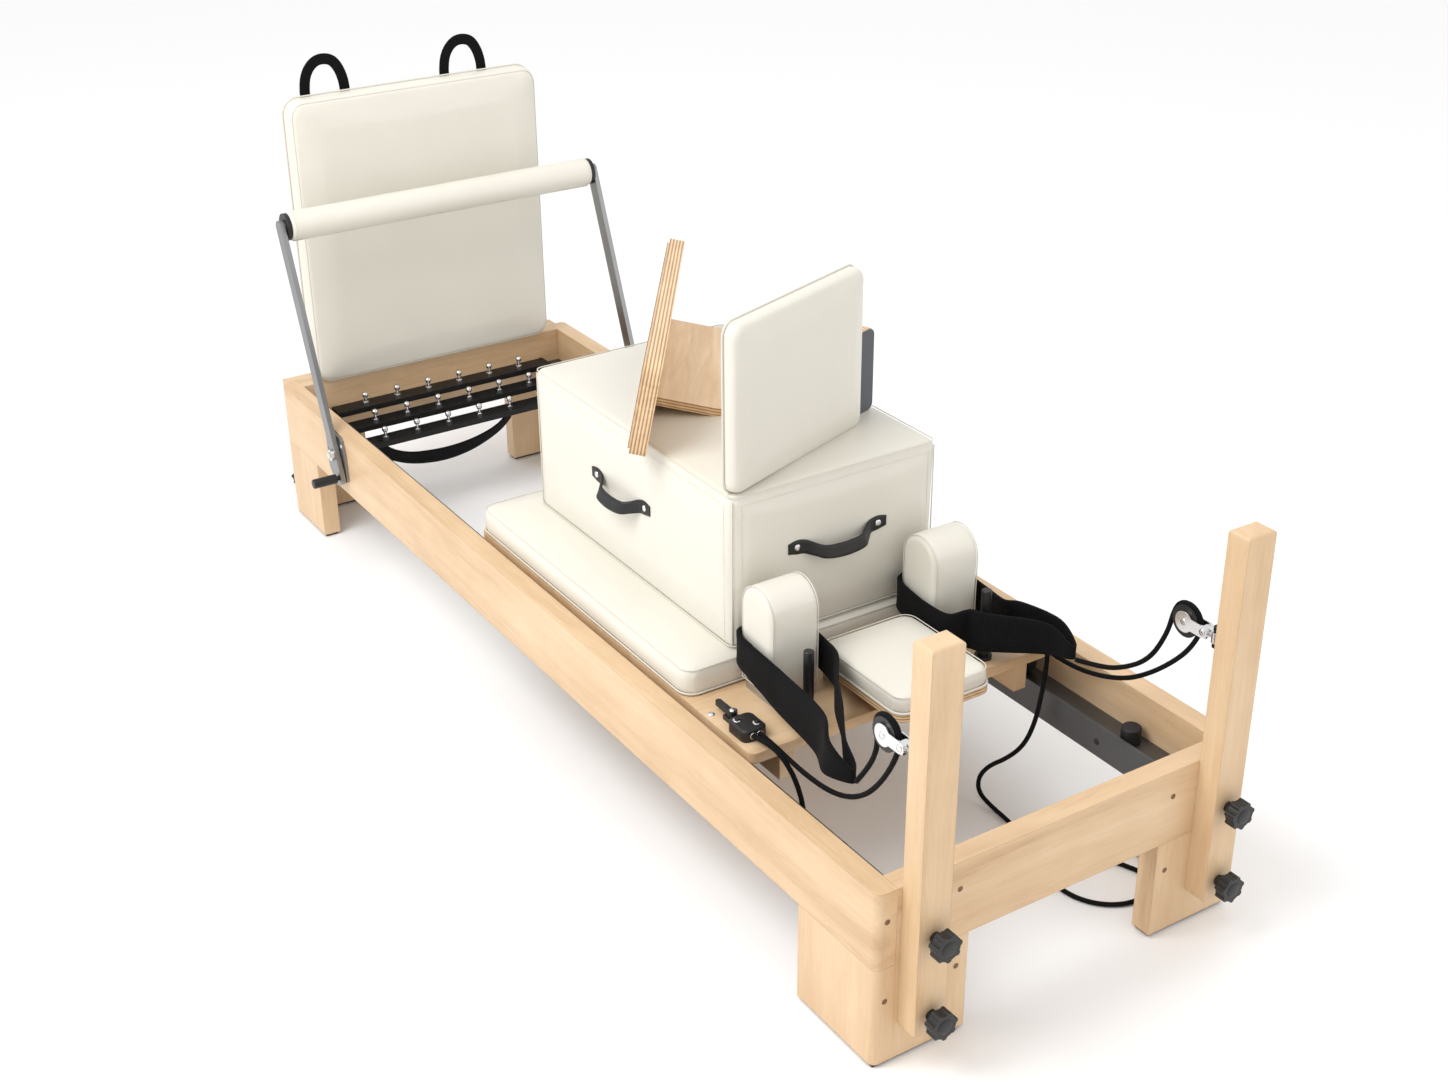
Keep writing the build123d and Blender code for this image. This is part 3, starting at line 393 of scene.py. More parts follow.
def inset(outline, depth):
    """The outline moved inward. It runs anticlockwise and has no hollow."""
    n = len(outline)
    moved = []
    for i in range(n):
        before, after = outline[i] - outline[i - 1], outline[(i + 1) % n] - outline[i]
        d = (before.normalized() + after.normalized()) / 2
        inward = Vector((-d.y, d.x, 0))
        moved.append(outline[i] + inward * (depth / max(d.length_squared, 0.3)))
    return moved


def to_place(origin, along, across):
    """The matrix that takes a flat outline to its place. Its thickness runs along x across y."""
    up = along.cross(across)
    return Matrix(((along.x, across.x, up.x, origin[0]), (along.y, across.y, up.y, origin[1]),
                   (along.z, across.z, up.z, origin[2]), (0, 0, 0, 1)))


cushions = []


def cushion(name, outline, thick, place, body, node, round_top, round_foot, crown, voxel=0.006, fill=0.8):
    """A covered foam piece: its outline, rounded at both faces, swelled by its filling."""
    layers = []
    for k in range(6):
        a = radians(90 * k / 5)
        layers.append((round_foot * (1 - sin(a)), round_foot * (1 - cos(a))))
    for k in range(6):
        a = radians(90 * k / 5)
        layers.append((round_top * (1 - cos(a)), thick - round_top * (1 - sin(a))))
    verts, faces, m = [], [], len(outline)
    for depth, height in layers:
        verts += [v + Z * height for v in inset(outline, depth)]
    for i in range(len(layers) - 1):
        faces += [(i * m + k, i * m + (k + 1) % m, (i + 1) * m + (k + 1) % m, (i + 1) * m + k)
                  for k in range(m)]
    faces += [tuple(range(m))[::-1], tuple(range((len(layers) - 1) * m, len(layers) * m))]
    made = mesh(name, verts, faces, cream)
    remesh = made.modifiers.new("even", "REMESH")
    remesh.mode, remesh.voxel_size, remesh.use_smooth_shade = "VOXEL", voxel, True
    apply_shape(made)
    cushions.append((made, thick, round_top, round_foot, crown, place, outline))
    made["body"], made["node"], made["fill"] = body, node, fill
    return made


def apply_shape(obj):
    """Keeps what the modifiers have made, and removes them."""
    graph = bpy.context.evaluated_depsgraph_get()
    data = bpy.data.meshes.new_from_object(obj.evaluated_get(graph))
    obj.modifiers.clear()
    obj.data = data
    data.polygons.foreach_set("use_smooth", [True] * len(data.polygons))


sim_frames = 20


def swell():
    """Inflates every cushion together as cloth held at its seams and at its board."""
    rest = {}
    for made, thick, round_top, round_foot, crown, place, outline in cushions:
        group = made.vertex_groups.new(name="held")
        rest[made.name] = [v.co.copy() for v in made.data.vertices]
        top_seam = thick - 0.3 * round_top
        for v in made.data.vertices:
            held = v.co.z < round_foot + 0.001 or abs(v.co.z - top_seam) < 0.0032
            group.add([v.index], 1.0 if held else 0.0, "REPLACE")
        cloth = made.modifiers.new("filling", "CLOTH")
        cloth.settings.quality = 4
        cloth.settings.mass = 0.4
        cloth.settings.use_pressure = True
        cloth.settings.uniform_pressure_force = 4.0
        cloth.settings.tension_stiffness = 22.0
        cloth.settings.compression_stiffness = 16.0
        cloth.settings.shear_stiffness = 10.0
        cloth.settings.bending_stiffness = 1.5
        cloth.settings.vertex_group_mass = "held"
        cloth.settings.effector_weights.gravity = 0.0
        cloth.collision_settings.use_collision = False
        cloth.point_cache.frame_start, cloth.point_cache.frame_end = 1, sim_frames
    for step in range(1, sim_frames + 1):
        scene.frame_set(step)
    for made, thick, round_top, round_foot, crown, place, outline in cushions:
        apply_shape(made)
        for v, start in zip(made.data.vertices, rest[made.name]):
            moved = v.co - start
            if moved.length > crown:
                v.co = start + moved * (crown / moved.length)
    scene.frame_set(1)


def settle_cushions():
    """Crowns each top, puts the piece in place and hands it to its body."""
    swell()
    for made, thick, round_top, round_foot, crown, place, outline in cushions:
        half_x = max(v.x for v in outline)
        low_y, high_y = min(v.y for v in outline), max(v.y for v in outline)
        middle, half_y = (low_y + high_y) / 2, (high_y - low_y) / 2
        for v in made.data.vertices:
            share = max(0.0, v.co.z / thick - 0.55) / 0.45
            u, w = abs(v.co.x / half_x), abs((v.co.y - middle) / half_y)
            v.co.z += crown * share * (1 - min(u, 1) ** 5) * (1 - min(w, 1) ** 5) * 0.7
        made.data.transform(place)
        made.data.update()
        finer = made.modifiers.new("finer", "SUBSURF")
        finer.levels = finer.render_levels = 1
        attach(made, made["body"])
        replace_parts(made, made["node"])


# Seams default to the darker cream vinyl, which paints the shade of the seam creases.
def seam(name, line, place, body, radius=0.0011, material=cream_seam_shaded, closed=True):
    """Piping or a sewn ridge along a line given in the cushion's own plane."""
    made = tube(name, [place @ v for v in line], radius, material, closed, 8)
    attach(made, body)
    return made


def edge_seam(name, outline, thick, rounding, place, body, lift=0.0005, radius=0.0011):
    """A seam along a cushion's rounded edge."""
    inward = rounding * (1 - cos(radians(45))) - lift
    height = thick - rounding * (1 - sin(radians(45))) + lift
    line = [v + Z * height for v in inset(outline, inward)]
    return seam(name, refine(line, True), place, body, radius)


def refine(line, closed, step=0.02):
    """The same line with points no further apart than about one step."""
    fine = []
    for a, b in zip(line, line[1:] + (line[:1] if closed else [])):
        count = max(1, int((b - a).length / step))
        fine += [a.lerp(b, k / count) for k in range(count)]
    return fine if closed else fine + [line[-1]]


def stitches(name, line, outward, body, closed=True, pitch=0.0058, long=0.0038, thick=0.0005):
    """A row of sewn stitches along a line that lies on a surface facing outward."""
    verts, faces = [], []
    fine = refine(line, closed, 0.001)
    gone, last = pitch, fine[0]
    for a, b, facing in zip(fine, fine[1:], [outward] * len(fine)):
        gone += (b - last).length
        last = b
        if gone < pitch:
            continue
        gone = 0.0
        forward = (b - a).normalized()
        side = forward.cross(facing).normalized()
        at = len(verts)
        for s, o in ((-1, 0), (1, 0), (0, 1)):
            for f in (-0.5, 0.5):
                verts.append(b + side * s * thick + facing * o * thick + forward * f * long)
        faces += [(at, at + 1, at + 5, at + 4), (at + 3, at + 2, at + 4, at + 5), (at, at + 4, at + 2),
                  (at + 1, at + 3, at + 5)]
    made = mesh(name, verts, faces, thread)
    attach(made, body)
    return made


def disc(name, centre, axis, profile, material, body, sides=24):
    """A turned piece: (distance along the axis, radius) pairs about a centre."""
    axis = Vector(axis).normalized()
    side = axis.orthogonal().normalized()
    up = axis.cross(side)
    sections = [[Vector(centre) + axis * d
                 + (side * cos(2 * pi * k / sides) + up * sin(2 * pi * k / sides)) * r
                 for k in range(sides)] for d, r in profile]
    made = loft(name, [s[0] for s in sections], sections, material)
    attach(made, body)
    return made


def dome(radius, height):
    """The profile of a round rivet head."""
    return [(-0.001, radius)] + [(height * sin(radians(a)), radius * cos(radians(a)) + 0.00005)
                                 for a in (0, 18, 36, 54, 72, 88)]


# ---- cushions --------------------------------------------------------------------------
flat = Matrix.Identity(4)

fine_voxel = 0.0045
pad_thick, pad_round = 0.048, 0.014
pad_outline = rounded(0.725, 0.600, 0.026)
pad_place = to_place((0.1525, 0, 0.306), X, Y)
cushion("pad_cover", pad_outline, pad_thick, pad_place, "carriage", "carriage_pad", pad_round, 0.003, 0.003)

board_thick, board_round = 0.046, 0.020
board_outline = rounded(0.570, 0.622, 0.034)
board_place = to_place((-1.073, 0, 0.3048 + 0.311), Y, Z)
cushion("board_cover", board_outline, board_thick, board_place, "jump_board", "jump_board_pad", board_round,
        0.003, 0.004)

box_length, box_width, box_height, box_corner, box_round = 0.650, 0.405, 0.271, 0.016, 0.012
box_outline = rounded(box_length, box_width, box_corner)
box_place = to_place((0.173, 0, 0.3543), X, Y)
cushion("box_cover", box_outline, box_height, box_place, "sitting_box", "sitting_box", box_round, 0.010,
        0.0035)

head_thick, head_round = 0.030, 0.012
head_outline = rounded(0.216, 0.182, 0.024)
head_place = to_place((0.685, 0, 0.345), X, Y)
cushion("headrest_cover", head_outline, head_thick, head_place, "headrest", "headrest_pad", head_round,
        0.003, 0.005, fine_voxel)

rest_thick, rest_round = 0.090, 0.009
rest_outline = arch(0.088, 0.181)
rest_places = {"left": to_place((0.571, -0.114, 0.322), X, Z), "right": to_place((0.571, 0.204, 0.322), X, Z)}
for side, place in rest_places.items():
    cushion("rest_cover_" + side, rest_outline, rest_thick, place, "shoulder_rest_" + side,
            "shoulder_rest_" + side, rest_round, rest_round, 0.003, fine_voxel)

padded_turn = 109.6
padded_foot = Vector((0.504, -0.196, 0.6256))
padded_length, padded_height, padded_thick = 0.350, 0.280, 0.028
turn = radians(padded_turn)
platform_along = Vector((cos(turn), sin(turn), 0))
platform_back = Vector((-sin(turn), cos(turn), 0))
platform_middle = (padded_foot + platform_along * (padded_length / 2) + Z * (padded_height / 2)
                   + platform_back * padded_thick)
platform_outline = rounded(padded_length, padded_height, 0.022)
platform_place = to_place(platform_middle, platform_along, Z)
cushion("platform_cover", platform_outline, padded_thick, platform_place, "padded_platform",
        "padded_platform_pad", 0.016, 0.006, 0.003, fine_voxel)

settle_cushions()


# ---- seams, piping and stitching ---------------------------------------------------------
edge_seam("box_top_seam", box_outline, box_height, box_round, box_place, "sitting_box", 0.0016)
foot_line = [v + Z * 0.006 for v in inset(box_outline, -0.0006)]
seam("box_foot_seam", refine(foot_line, True), box_place, "sitting_box")
for number, (sx, sy) in enumerate(((1, -1), (1, 1), (-1, 1), (-1, -1))):
    corner = Vector((sx * (box_length / 2 - box_corner * 0.27), sy * (box_width / 2 - box_corner * 0.27), 0))
    line = [corner + Z * z for z in (0.008, 0.09, 0.18, 0.262)]
    seam("box_corner_seam_%d" % number, line, box_place, "sitting_box", closed=False)
    for way, facing in ((-sx * X, sy * Y), (-sy * Y, sx * X)):
        face = Vector((sx * (box_length / 2 + 0.0012), sy * (box_width / 2 + 0.0012), 0))
        start = face + way * 0.021
        row = [box_place @ (start + Z * z) for z in (0.012, 0.255)]
        stitches("box_corner_stitch_%d_%s" % (number, "x" if facing.y else "y"), row, facing, "sitting_box",
                 False)
for number, (sx, sy, reach) in enumerate(((1, 0, 0.175), (-1, 0, 0.175), (0, 1, 0.297), (0, -1, 0.297))):
    facing = Vector((sx, sy, 0))
    way = Vector((-sy, sx, 0))
    base = facing * ((box_length if sx else box_width) / 2 + 0.0014)
    row = [box_place @ (base + way * t + Z * 0.2535) for t in (-reach, reach)]
    stitches("box_side_stitch_%d" % number, row, facing, "sitting_box", False)
edge_seam("pad_seam", pad_outline, pad_thick, pad_round, pad_place, "carriage", 0.0012, 0.0010)
foot_line = [v + Z * 0.004 for v in inset(pad_outline, -0.0008)]
seam("pad_foot_piping", refine(foot_line, True), pad_place, "carriage", 0.0016)
edge_seam("board_seam", board_outline, board_thick, board_round, board_place, "jump_board", 0.0001, 0.0007)
foot_line = [v + Z * 0.004 for v in inset(board_outline, -0.0006)]
seam("board_back_piping", refine(foot_line, True), board_place, "jump_board", 0.0018)
foot_line = [v + Z * 0.0022 for v in inset(head_outline, -0.0012)]
seam("headrest_piping", refine(foot_line, True, 0.01), head_place, "headrest", 0.0023)
edge_seam("headrest_seam", head_outline, head_thick, head_round, head_place, "headrest", 0.0022, 0.0009)
foot_line = [v + Z * 0.003 for v in inset(platform_outline, -0.0006)]
seam("platform_back_piping", refine(foot_line, True), platform_place, "padded_platform", 0.0018)
for side, place in rest_places.items():
    body = "shoulder_rest_" + side
    depth = rest_round * 0.29
    for name, height in (("inner", rest_thick - depth), ("outer", depth)):
        line = [v + Z * height for v in inset(rest_outline, depth - 0.0016)]
        seam("rest_%s_%s_seam" % (side, name), refine(line, True), place, body, 0.0010)


# ---- footbar roller --------------------------------------------------------------------
pivot_x, pivot_z = -0.767, 0.262
arm_reach, arm_lean = 0.473, radians(21.0)
bar = Vector((pivot_x - arm_reach * sin(arm_lean), 0, pivot_z + arm_reach * cos(arm_lean)))
rings = [(-0.348, 0.0262), (-0.3465, 0.0286), (-0.343, 0.0298)]
rings += [(y, 0.0300 + 0.00035 * sin(y * 61) * cos(y * 23))
          for y in [-0.336 + 0.0168 * k for k in range(41)]]
rings += [(0.343, 0.0298), (0.3465, 0.0286), (0.348, 0.0262)]
roller = disc("roller_cover", bar, Y, rings, cream, "footbar", 40)
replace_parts(roller, "footbar_pad")
low = bar + Vector((0.010, 0, -0.0288))
seam("roller_seam", [low + Y * y for y in (-0.344, -0.17, 0, 0.17, 0.344)], flat, "footbar", 0.0009,
     closed=False)
for side in (-1, 1):
    ring = [bar + Y * side * 0.340 + Vector((cos(a), 0, sin(a))) * 0.0299
            for a in [2 * pi * k / 36 for k in range(36)]]
    seam("roller_end_seam_%d" % (side + 1), ring, flat, "footbar", 0.0008)


# ---- straps ----------------------------------------------------------------------------
loops = None
panel_top = 0.9171
for number, y in enumerate((-0.184, 0.133)):
    shape = ((-0.0440, 0.002), (-0.0440, 0.020), (-0.0400, 0.044), (-0.0300, 0.063), (-0.0145, 0.0755),
             (0.0040, 0.078), (0.0215, 0.0715), (0.0345, 0.053), (0.0420, 0.028), (0.0440, 0.002))
    route = [(-1.0790, y + a, panel_top + b) for a, b in shape]
    facing = [(Y + Z * -0.04), (Y - Z * 0.05), (Y - Z * 0.35), (Y - Z * 0.8), (Y * 0.35 - Z),
              (Y * -0.1 - Z), (-Y * 0.6 - Z), (-Y - Z * 0.75), (-Y - Z * 0.3), (-Y - Z * 0.04)]
    n = len(route)
    loop = ribbon("board_loop_%d" % number, route, [0.0225] * n, [0.0032] * n, webbing, X, False, 6, facing)
    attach(loop, "jump_board")
    if loops is None:
        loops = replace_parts(loop, "jump_board_loops")

sag = [(-0.215, 0.190), (-0.206, 0.172), (-0.180, 0.150), (-0.140, 0.132), (-0.095, 0.123), (-0.045, 0.120),
       (0.005, 0.125), (0.050, 0.137), (0.085, 0.153), (0.108, 0.173), (0.115, 0.190)]
drop = [(-0.912, y, z + 0.010) for y, z in sag]
leans = [Vector((0.35 + 0.2 * sin(k), 0, 1)) for k in range(len(drop))]
foot = ribbon("foot_strap_webbing", drop, [0.034] * len(drop), [0.0036] * len(drop), webbing, Z, False, 6,
              leans)
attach(foot, "frame")
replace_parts(foot, "foot_strap")


def shoulder_strap(name, s, tip, inner):
    """A padded strap round the shoulder rest: s is -1 on the left side and 1 on the right."""
    tip = Vector(tip)
    route = [(0.519, s * 0.160, 0.385), (0.521, s * 0.196, 0.384), (0.534, s * 0.2125, 0.382),
             (0.572, s * 0.2165, 0.377), (0.622, s * 0.2175, 0.371), (0.668, s * 0.2195, 0.366),
             (tip.x - 0.115, s * 0.236, 0.369), (tip.x - 0.055, tip.y + s * 0.012, 0.366),
             (tip.x - 0.010, tip.y + s * 0.0055, 0.359), (tip.x - 0.010, tip.y - s * 0.0055, 0.359),
             (tip.x - 0.055, tip.y - s * 0.020, 0.366), (tip.x - 0.115, s * inner, 0.369),
             (min(0.705, tip.x - 0.15), s * 0.146, 0.364), (0.655, s * 0.110, 0.367),
             (0.610, s * 0.1025, 0.371), (0.568, s * 0.1015, 0.377), (0.534, s * 0.105, 0.383),
             (0.521, s * 0.122, 0.385)]
    widths = [0.054, 0.055, 0.057, 0.061, 0.066, 0.070, 0.070, 0.056, 0.028, 0.028, 0.056, 0.068,
              0.070, 0.066, 0.061, 0.057, 0.054, 0.054]
    thick = [0.0068] * 6 + [0.0066, 0.0060, 0.0045, 0.0045, 0.0060, 0.0066] + [0.0066] * 6
    tilt = [0, 0, 0, 0.03, 0.07, 0.12, 0.16, 0.10, 0.02, -0.02, -0.10, -0.10, -0.04, -0.02, 0, 0, 0, 0]
    lean = [Z - Y * s * t for t in tilt]
    made = ribbon(name, route, widths, thick, webbing, Z, True, 8, lean)
    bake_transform(made)
    return made


strap_left = shoulder_strap("shoulder_strap_left", -1, (0.900, -0.252, 0.352), 0.192)
shoulder_strap("shoulder_strap_right", 1, (0.812, 0.246, 0.348), 0.160)
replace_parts(strap_left, "shoulder_straps")


# ---- ropes -----------------------------------------------------------------------------
def rope_line(name, points):
    """The centre line of a rope: a smooth curve drawn by its route's points."""
    data = bpy.data.curves.new(name, "CURVE")
    data.dimensions = "3D"
    data.resolution_u = 10
    spline = data.splines.new("NURBS")
    spline.points.add(len(points) - 1)
    for point, place in zip(spline.points, points):
        point.co = (*place, 1)
    spline.order_u = 3
    spline.use_endpoint_u = True
    route = bpy.data.objects.new(name, data)
    scene.collection.objects.link(route)
    drawn = bpy.data.meshes.new_from_object(route.evaluated_get(bpy.context.evaluated_depsgraph_get()))
    line = [v.co.copy() for v in drawn.vertices]
    bpy.data.objects.remove(route)
    return line


sheave_x, riser_y, sheave_z = 1.005, 0.280, 0.500
rope_turn = 0.0294


def sheave_round(y):
    """The way round the sheave, from under it, behind it and over it."""
    return [(sheave_x + rope_turn * cos(radians(a)), y, sheave_z + rope_turn * sin(radians(a)))
            for a in (-12, 33, 78, 123, 168)]


sag_left = [(0.6744, -0.266, 0.316), (0.704, -0.265, 0.315), (0.742, -0.263, 0.309), (0.792, -0.261, 0.304),
            (0.845, -0.260, 0.307), (0.893, -0.261, 0.323), (0.936, -0.264, 0.352), (0.974, -0.270, 0.392),
            (1.012, -0.277, 0.446)]
down_left = [(0.977, -0.273, 0.468), (0.950, -0.263, 0.412), (0.902, -0.252, 0.353)]
sag_right = [(0.6744, 0.266, 0.316), (0.704, 0.267, 0.316), (0.745, 0.269, 0.312), (0.800, 0.271, 0.314),
             (0.855, 0.272, 0.328), (0.905, 0.273, 0.350), (0.946, 0.275, 0.380), (0.982, 0.278, 0.414),
             (1.014, 0.279, 0.452)]
down_right = [(0.976, 0.271, 0.466), (0.953, 0.261, 0.410), (0.900, 0.253, 0.372), (0.856, 0.249, 0.357),
              (0.814, 0.246, 0.348)]
tail_left = [(0.6744, -0.278, 0.316), (0.704, -0.277, 0.322), (0.738, -0.273, 0.318), (0.764, -0.265, 0.290),
             (0.775, -0.256, 0.245), (0.778, -0.252, 0.190), (0.784, -0.252, 0.135), (0.785, -0.253, 0.085)]
tail_right = [(0.6744, 0.278, 0.316), (0.700, 0.277, 0.326), (0.725, 0.266, 0.329), (0.742, 0.252, 0.296),
              (0.744, 0.243, 0.242), (0.742, 0.234, 0.190), (0.730, 0.224, 0.146), (0.700, 0.216, 0.108),
              (0.664, 0.211, 0.076), (0.642, 0.208, 0.042), (0.646, 0.206, 0.014), (0.680, 0.206, 0.0044),
              (0.730, 0.203, 0.0043), (0.785, 0.192, 0.0044), (0.840, 0.172, 0.0043), (0.895, 0.152, 0.0044),
              (0.945, 0.152, 0.0043), (0.988, 0.176, 0.0044), (1.012, 0.220, 0.0043), (1.006, 0.268, 0.0044),
              (0.968, 0.294, 0.0043), (0.922, 0.276, 0.0044), (0.880, 0.258, 0.0043)]


for name, route, far_end, node, lay in (
        ("left_rope", sag_left + sheave_round(-riser_y) + down_left, "object", "rope_left", "hanging"),
        ("right_rope", sag_right + sheave_round(riser_y) + down_right, "object", "rope_right", "hanging"),
        ("left_tail", tail_left, "bare", None, "hanging"),
        ("right_tail", tail_right, "bare", None, "loose")):
    line = rope_line(name, route)
    made = tube(name, line, 0.004, cord_cover)
    if node:
        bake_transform(made)
        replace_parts(made, node)
    else:
        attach(made, "carriage")


# ---- leather handles -------------------------------------------------------------------
def leather_handle(name, centre, along, outward):
    """A bowed handle between two riveted tabs. It hangs a little by its own weight."""
    centre = Vector(centre)
    half = ((0.012, 0.0275, -0.0095), (0.036, 0.0245, -0.0075), (0.050, 0.014, -0.004),
            (0.064, 0.0042, 0.001), (0.080, 0.0030, 0.004), (0.097, 0.0028, 0.004))
    shape = tuple((-a, o, z) for a, o, z in reversed(half)) + half
    route = [centre + along * a + outward * o + Z * z for a, o, z in shape]
    widths = [0.018, 0.025, 0.024, 0.021, 0.022, 0.023, 0.023, 0.022, 0.021, 0.024, 0.025, 0.018]
    lean = [Z if abs(a) > 0.06 else Z - outward * 0.35 for a, o, z in shape]
    made = ribbon(name, route, widths, [0.0036] * 4 + [0.0052] * 4 + [0.0036] * 4, leather, Z, False, 7, lean)
    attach(made, "sitting_box")
    for number, a in enumerate((-0.080, 0.080)):
        place = centre + along * a + outward * 0.0048 + Z * 0.004
        disc("%s_rivet_%d" % (name, number), place, outward, dome(0.0058, 0.0024), chrome, "sitting_box",
             20)
    return made


first = leather_handle("handle_left", (0.160, -0.2035, 0.502), X, -Y)
leather_handle("handle_right", (0.160, 0.2035, 0.502), X, Y)
leather_handle("handle_head", (0.4988, 0, 0.505), Y, X)
leather_handle("handle_foot", (-0.1528, 0, 0.505), Y, -X)
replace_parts(first, "box_handles")


# ---- springs ---------------------------------------------------------------------------
first = None
x0, x1, z, r, pitch = -0.152, 0.224, 0.271, 0.0095, 0.0052
for number in range(5):
    y = (number - 2) * 0.078
    turns = (x1 - x0) / pitch
    line = [Vector((x0 - 0.024, y, z)), Vector((x0 - 0.010, y, z)), Vector((x0 - 0.003, y + r * 0.6, z))]
    count = int(turns * 10)
    line += [Vector((x0 + pitch * k / 10, y + r * cos(k * pi / 5), z + r * sin(k * pi / 5)))
             for k in range(count)]
    line += [Vector((x1 + 0.003, y + r * 0.5, z)), Vector((x1 + 0.010, y, z)), Vector((x1 + 0.024, y, z))]
    coil = tube("spring_coil_%d" % number, line, 0.0015, chrome, False, 6)
    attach(coil, "carriage")
    if first is None:
        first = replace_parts(coil, "springs")


# ---- small hardware --------------------------------------------------------------------
def ring(name, centre, axis, radius, wire, material, body, slot_name):
    """A thin wire ring about an axis."""
    axis = Vector(axis).normalized()
    side = axis.orthogonal().normalized()
    up = axis.cross(side)
    line = [Vector(centre) + (side * cos(2 * pi * k / 28) + up * sin(2 * pi * k / 28)) * radius
            for k in range(28)]
    made = tube(name, line, wire, material, True, 8)
    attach(made, body)
    return made


def hex_head(name, centre, axis, radius, height, body, material=chrome):
    """A six-sided bolt head or nut with flat faces."""
    profile = [(-0.001, radius), (height * 0.75, radius), (height, radius * 0.88), (height, radius * 0.1)]
    made = disc(name, centre, axis, profile, material, body, 6)
    made.data.polygons.foreach_set("use_smooth", [False] * len(made.data.polygons))
    return made


grip_x, grip_z = pivot_x + 0.050 * sin(arm_lean), pivot_z - 0.050 * cos(arm_lean)
washer = [(-0.001, 0.0068), (0.0008, 0.0068), (0.0011, 0.0062), (0.0011, 0.001)]
cleat_top, cleat_y = 0.326, 0.272
for side, s in (("left", -1), ("right", 1)):
    for number, (dx, dy) in enumerate(((-0.012, -0.011), (0.010, 0.011))):
        centre = (0.648 + dx, s * cleat_y + dy, cleat_top)
        disc("cleat_washer_%s_%d" % (side, number), centre, Z, washer, chrome, "carriage")
        hex_head("cleat_screw_%s_%d" % (side, number), Vector(centre) + Z * 0.001, Z, 0.0044, 0.003,
                 "carriage", black_plastic)
    for number, y in enumerate((0.266, 0.278)):
        ring("cleat_ferrule_%s_%d" % (side, number), (0.6742, s * y, 0.316), X, 0.0050, 0.0009, chrome,
             "carriage", "chrome")
    disc("lever_boss_" + side, (0.606, s * cleat_y, 0.3243), Z, dome(0.0052, 0.0026), chrome,
         "cleat_lever_" + side)
    disc("deck_screw_" + side, (0.573, s * 0.290, 0.3058), Z, dome(0.0062, 0.0030), chrome, "carriage")
    for number, x in enumerate((sheave_x, sheave_x + 0.038)):
        disc("pulley_axle_%s_%d" % (side, number), (x, s * riser_y - 0.0095, sheave_z), -Y,
             dome(0.0058, 0.0022), chrome, "pulley_" + side)
        disc("pulley_axle_far_%s_%d" % (side, number), (x, s * riser_y + 0.0095, sheave_z), Y,
             dome(0.0058, 0.0022), chrome, "pulley_" + side)
    for number, z in enumerate((0.462, 0.538)):
        disc("bracket_screw_%s_%d" % (side, number), (1.0790, s * riser_y, z), -X, dome(0.0062, 0.0030),
             chrome, "frame")
    knob = 1.085 + 0.0406 + 0.014 + 0.018
    for level, z in (("upper", 0.234), ("lower", 0.098)):
        disc("knob_cap_%s_%s" % (side, level), (knob, s * riser_y, z), X, dome(0.0125, 0.0024), black_plastic,
             "riser_knob_%s_%s" % (side, level))
    disc("board_knob_cap_" + side, (-knob, s * 0.307, 0.045), -X, dome(0.0125, 0.0024), black_plastic,
         "board_knob_" + side)
    pivot_y = s * (0.350 + 0.008 + 0.010 + 0.0003 + 0.006)
    hex_head("pivot_nut_" + side, (pivot_x, pivot_y, pivot_z), s * Y, 0.0075, 0.004, "frame")
    for number, (x, z) in enumerate(((-0.815, 0.290), (-0.748, 0.284), (-0.790, 0.196), (-0.745, 0.222))):
        disc("plate_screw_%s_%d" % (side, number), (x, s * 0.356, z), s * Y, dome(0.0046, 0.0014), chrome,
             "frame", 16)
    for number, turn_at in enumerate((0.010, 0.022, 0.034)):
        ring("grip_groove_%s_%d" % (side, number), (grip_x, s * (0.368 + 0.010 + turn_at), grip_z), Y, 0.0099,
             0.0007, black_plastic, "locking_pin_" + side, "black_plastic")

# Thin black discs on the tracks where the holes are: painted shade for the dark insides of the holes.
for number, (x, y) in enumerate(((0.30, 0.262), (0.86, 0.262))):
    for s in (-1, 1):
        disc("track_hole_shade_%d_%d" % (number, s + 1), (x, s * (y - 0.0002), 0.212), -s * Y,
             [(-0.0005, 0.006), (0.0003, 0.0058), (0.0003, 0.001)], black_rubber, "frame", 20)


# ---- mats on the two platforms ---------------------------------------------------------
def mat(name, place, length, height, left, low, depth, body, material, thick=0.0004):
    """A thin mat that lies over a CAD mat, in the place of its platform's own corner."""
    outline = [v + Vector((left + length / 2, low + height / 2, 0)) for v in rounded(length, height, 0.012)]
    verts = [place @ Vector((v.x, depth + d, v.y)) for d in (0.0, thick) for v in outline]
    m = len(outline)
    faces = [(k, (k + 1) % m, m + (k + 1) % m, m + k) for k in range(m)]
    faces += [tuple(range(m))[::-1], tuple(range(m, 2 * m))]
    made = mesh(name, verts, faces, material, False)
    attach(made, body)
    return made


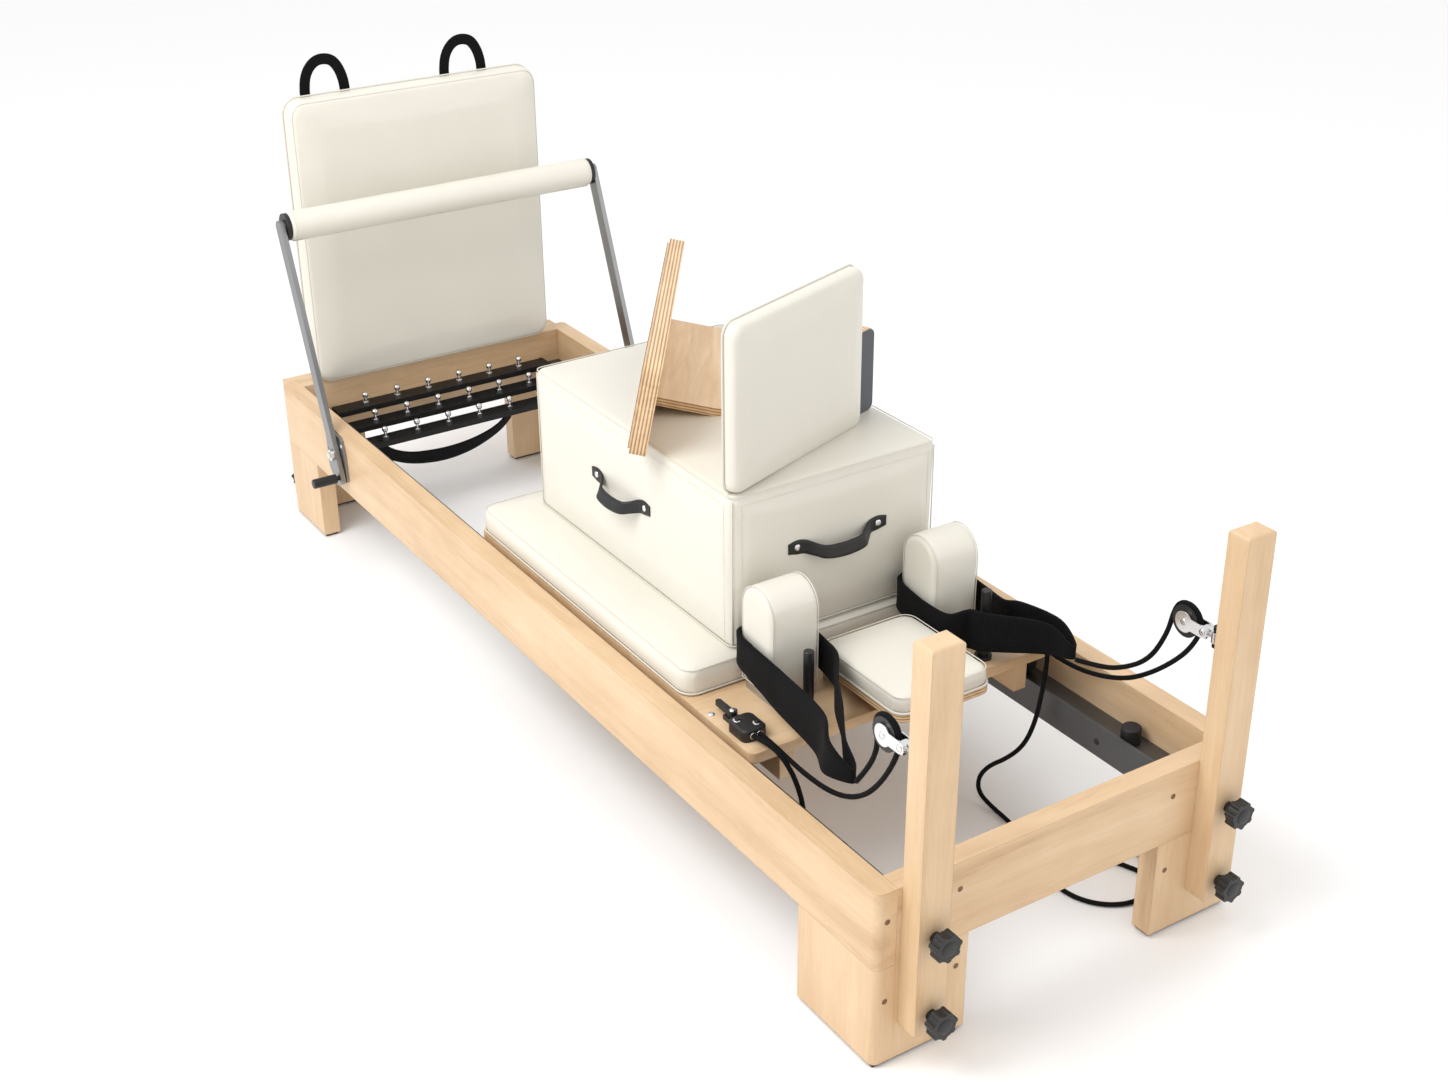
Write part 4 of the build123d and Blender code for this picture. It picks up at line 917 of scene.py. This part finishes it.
plank_place = (Matrix.Translation((0.3017, -0.2392, 0.6259)) @ Matrix.Rotation(radians(plank_turn), 4, "Z")
               @ Matrix.Rotation(radians(plank_lean), 4, "X"))
padded_place = (Matrix.Translation((padded_foot.x, padded_foot.y, 0.6259))
                @ Matrix.Rotation(radians(padded_turn), 4, "Z"))
mat("plank_mat", plank_place, 0.612, 0.153, 0.007, 0.007, 0.0309, "standing_platform", grey_mat)
mat("backing_mat", padded_place, 0.344, 0.144, 0.073, 0.003, 0.0279, "padded_platform", grey_mat,
    0.0032)


# ---- floor, light and camera -----------------------------------------------------------
floor_half, floor_drop = 9, 0.0008
corners = [(x * floor_half, y * floor_half, -floor_drop) for x, y in ((-1, -1), (1, -1), (1, 1), (-1, 1))]
floor = mesh("floor", corners, [(0, 1, 2, 3)], Shader("floor").finish((0.93, 0.93, 0.93, 1), 0.62), False)

world = bpy.data.worlds.new("studio")
scene.world = world
world.use_nodes = True
sky = world.node_tree.nodes["Background"]
sky.inputs["Color"].default_value = (1.0, 1.0, 1.0, 1)
sky.inputs["Strength"].default_value = 1.0


def area(name, place, target, size, power):
    """A round soft light that faces its target."""
    lamp = bpy.data.lights.new(name, "AREA")
    lamp.shape, lamp.size, lamp.energy = "DISK", size, power
    made = bpy.data.objects.new(name, lamp)
    made.location = place
    made.rotation_euler = (Vector(target) - Vector(place)).to_track_quat("-Z", "Y").to_euler()
    scene.collection.objects.link(made)
    return made


area("key", (0.2, -2.6, 3.6), (0, 0, 0.3), 2.6, 105)
area("side", (4.0, 2.6, 2.4), (0.2, 0, 0.4), 2.4, 16)

camera_data = bpy.data.cameras.new("camera")
camera_data.sensor_width = 36.0
camera_data.lens = 48.0
camera = bpy.data.objects.new("camera", camera_data)
yaw, pitch, roll = 2.573, -0.475, -0.009
ahead = Vector((cos(pitch) * cos(yaw), cos(pitch) * sin(yaw), sin(pitch)))
right = ahead.cross(Z).normalized()
above = right.cross(ahead)
level = right * cos(roll) + above * sin(roll)
above = above * cos(roll) - right * sin(roll)
camera.matrix_world = Matrix(((level.x, above.x, -ahead.x, 2.7433), (level.y, above.y, -ahead.y, -1.6503),
                              (level.z, above.z, -ahead.z, 1.9240), (0, 0, 0, 1)))
scene.collection.objects.link(camera)
scene.camera = camera
scene.view_settings.view_transform = "Standard"
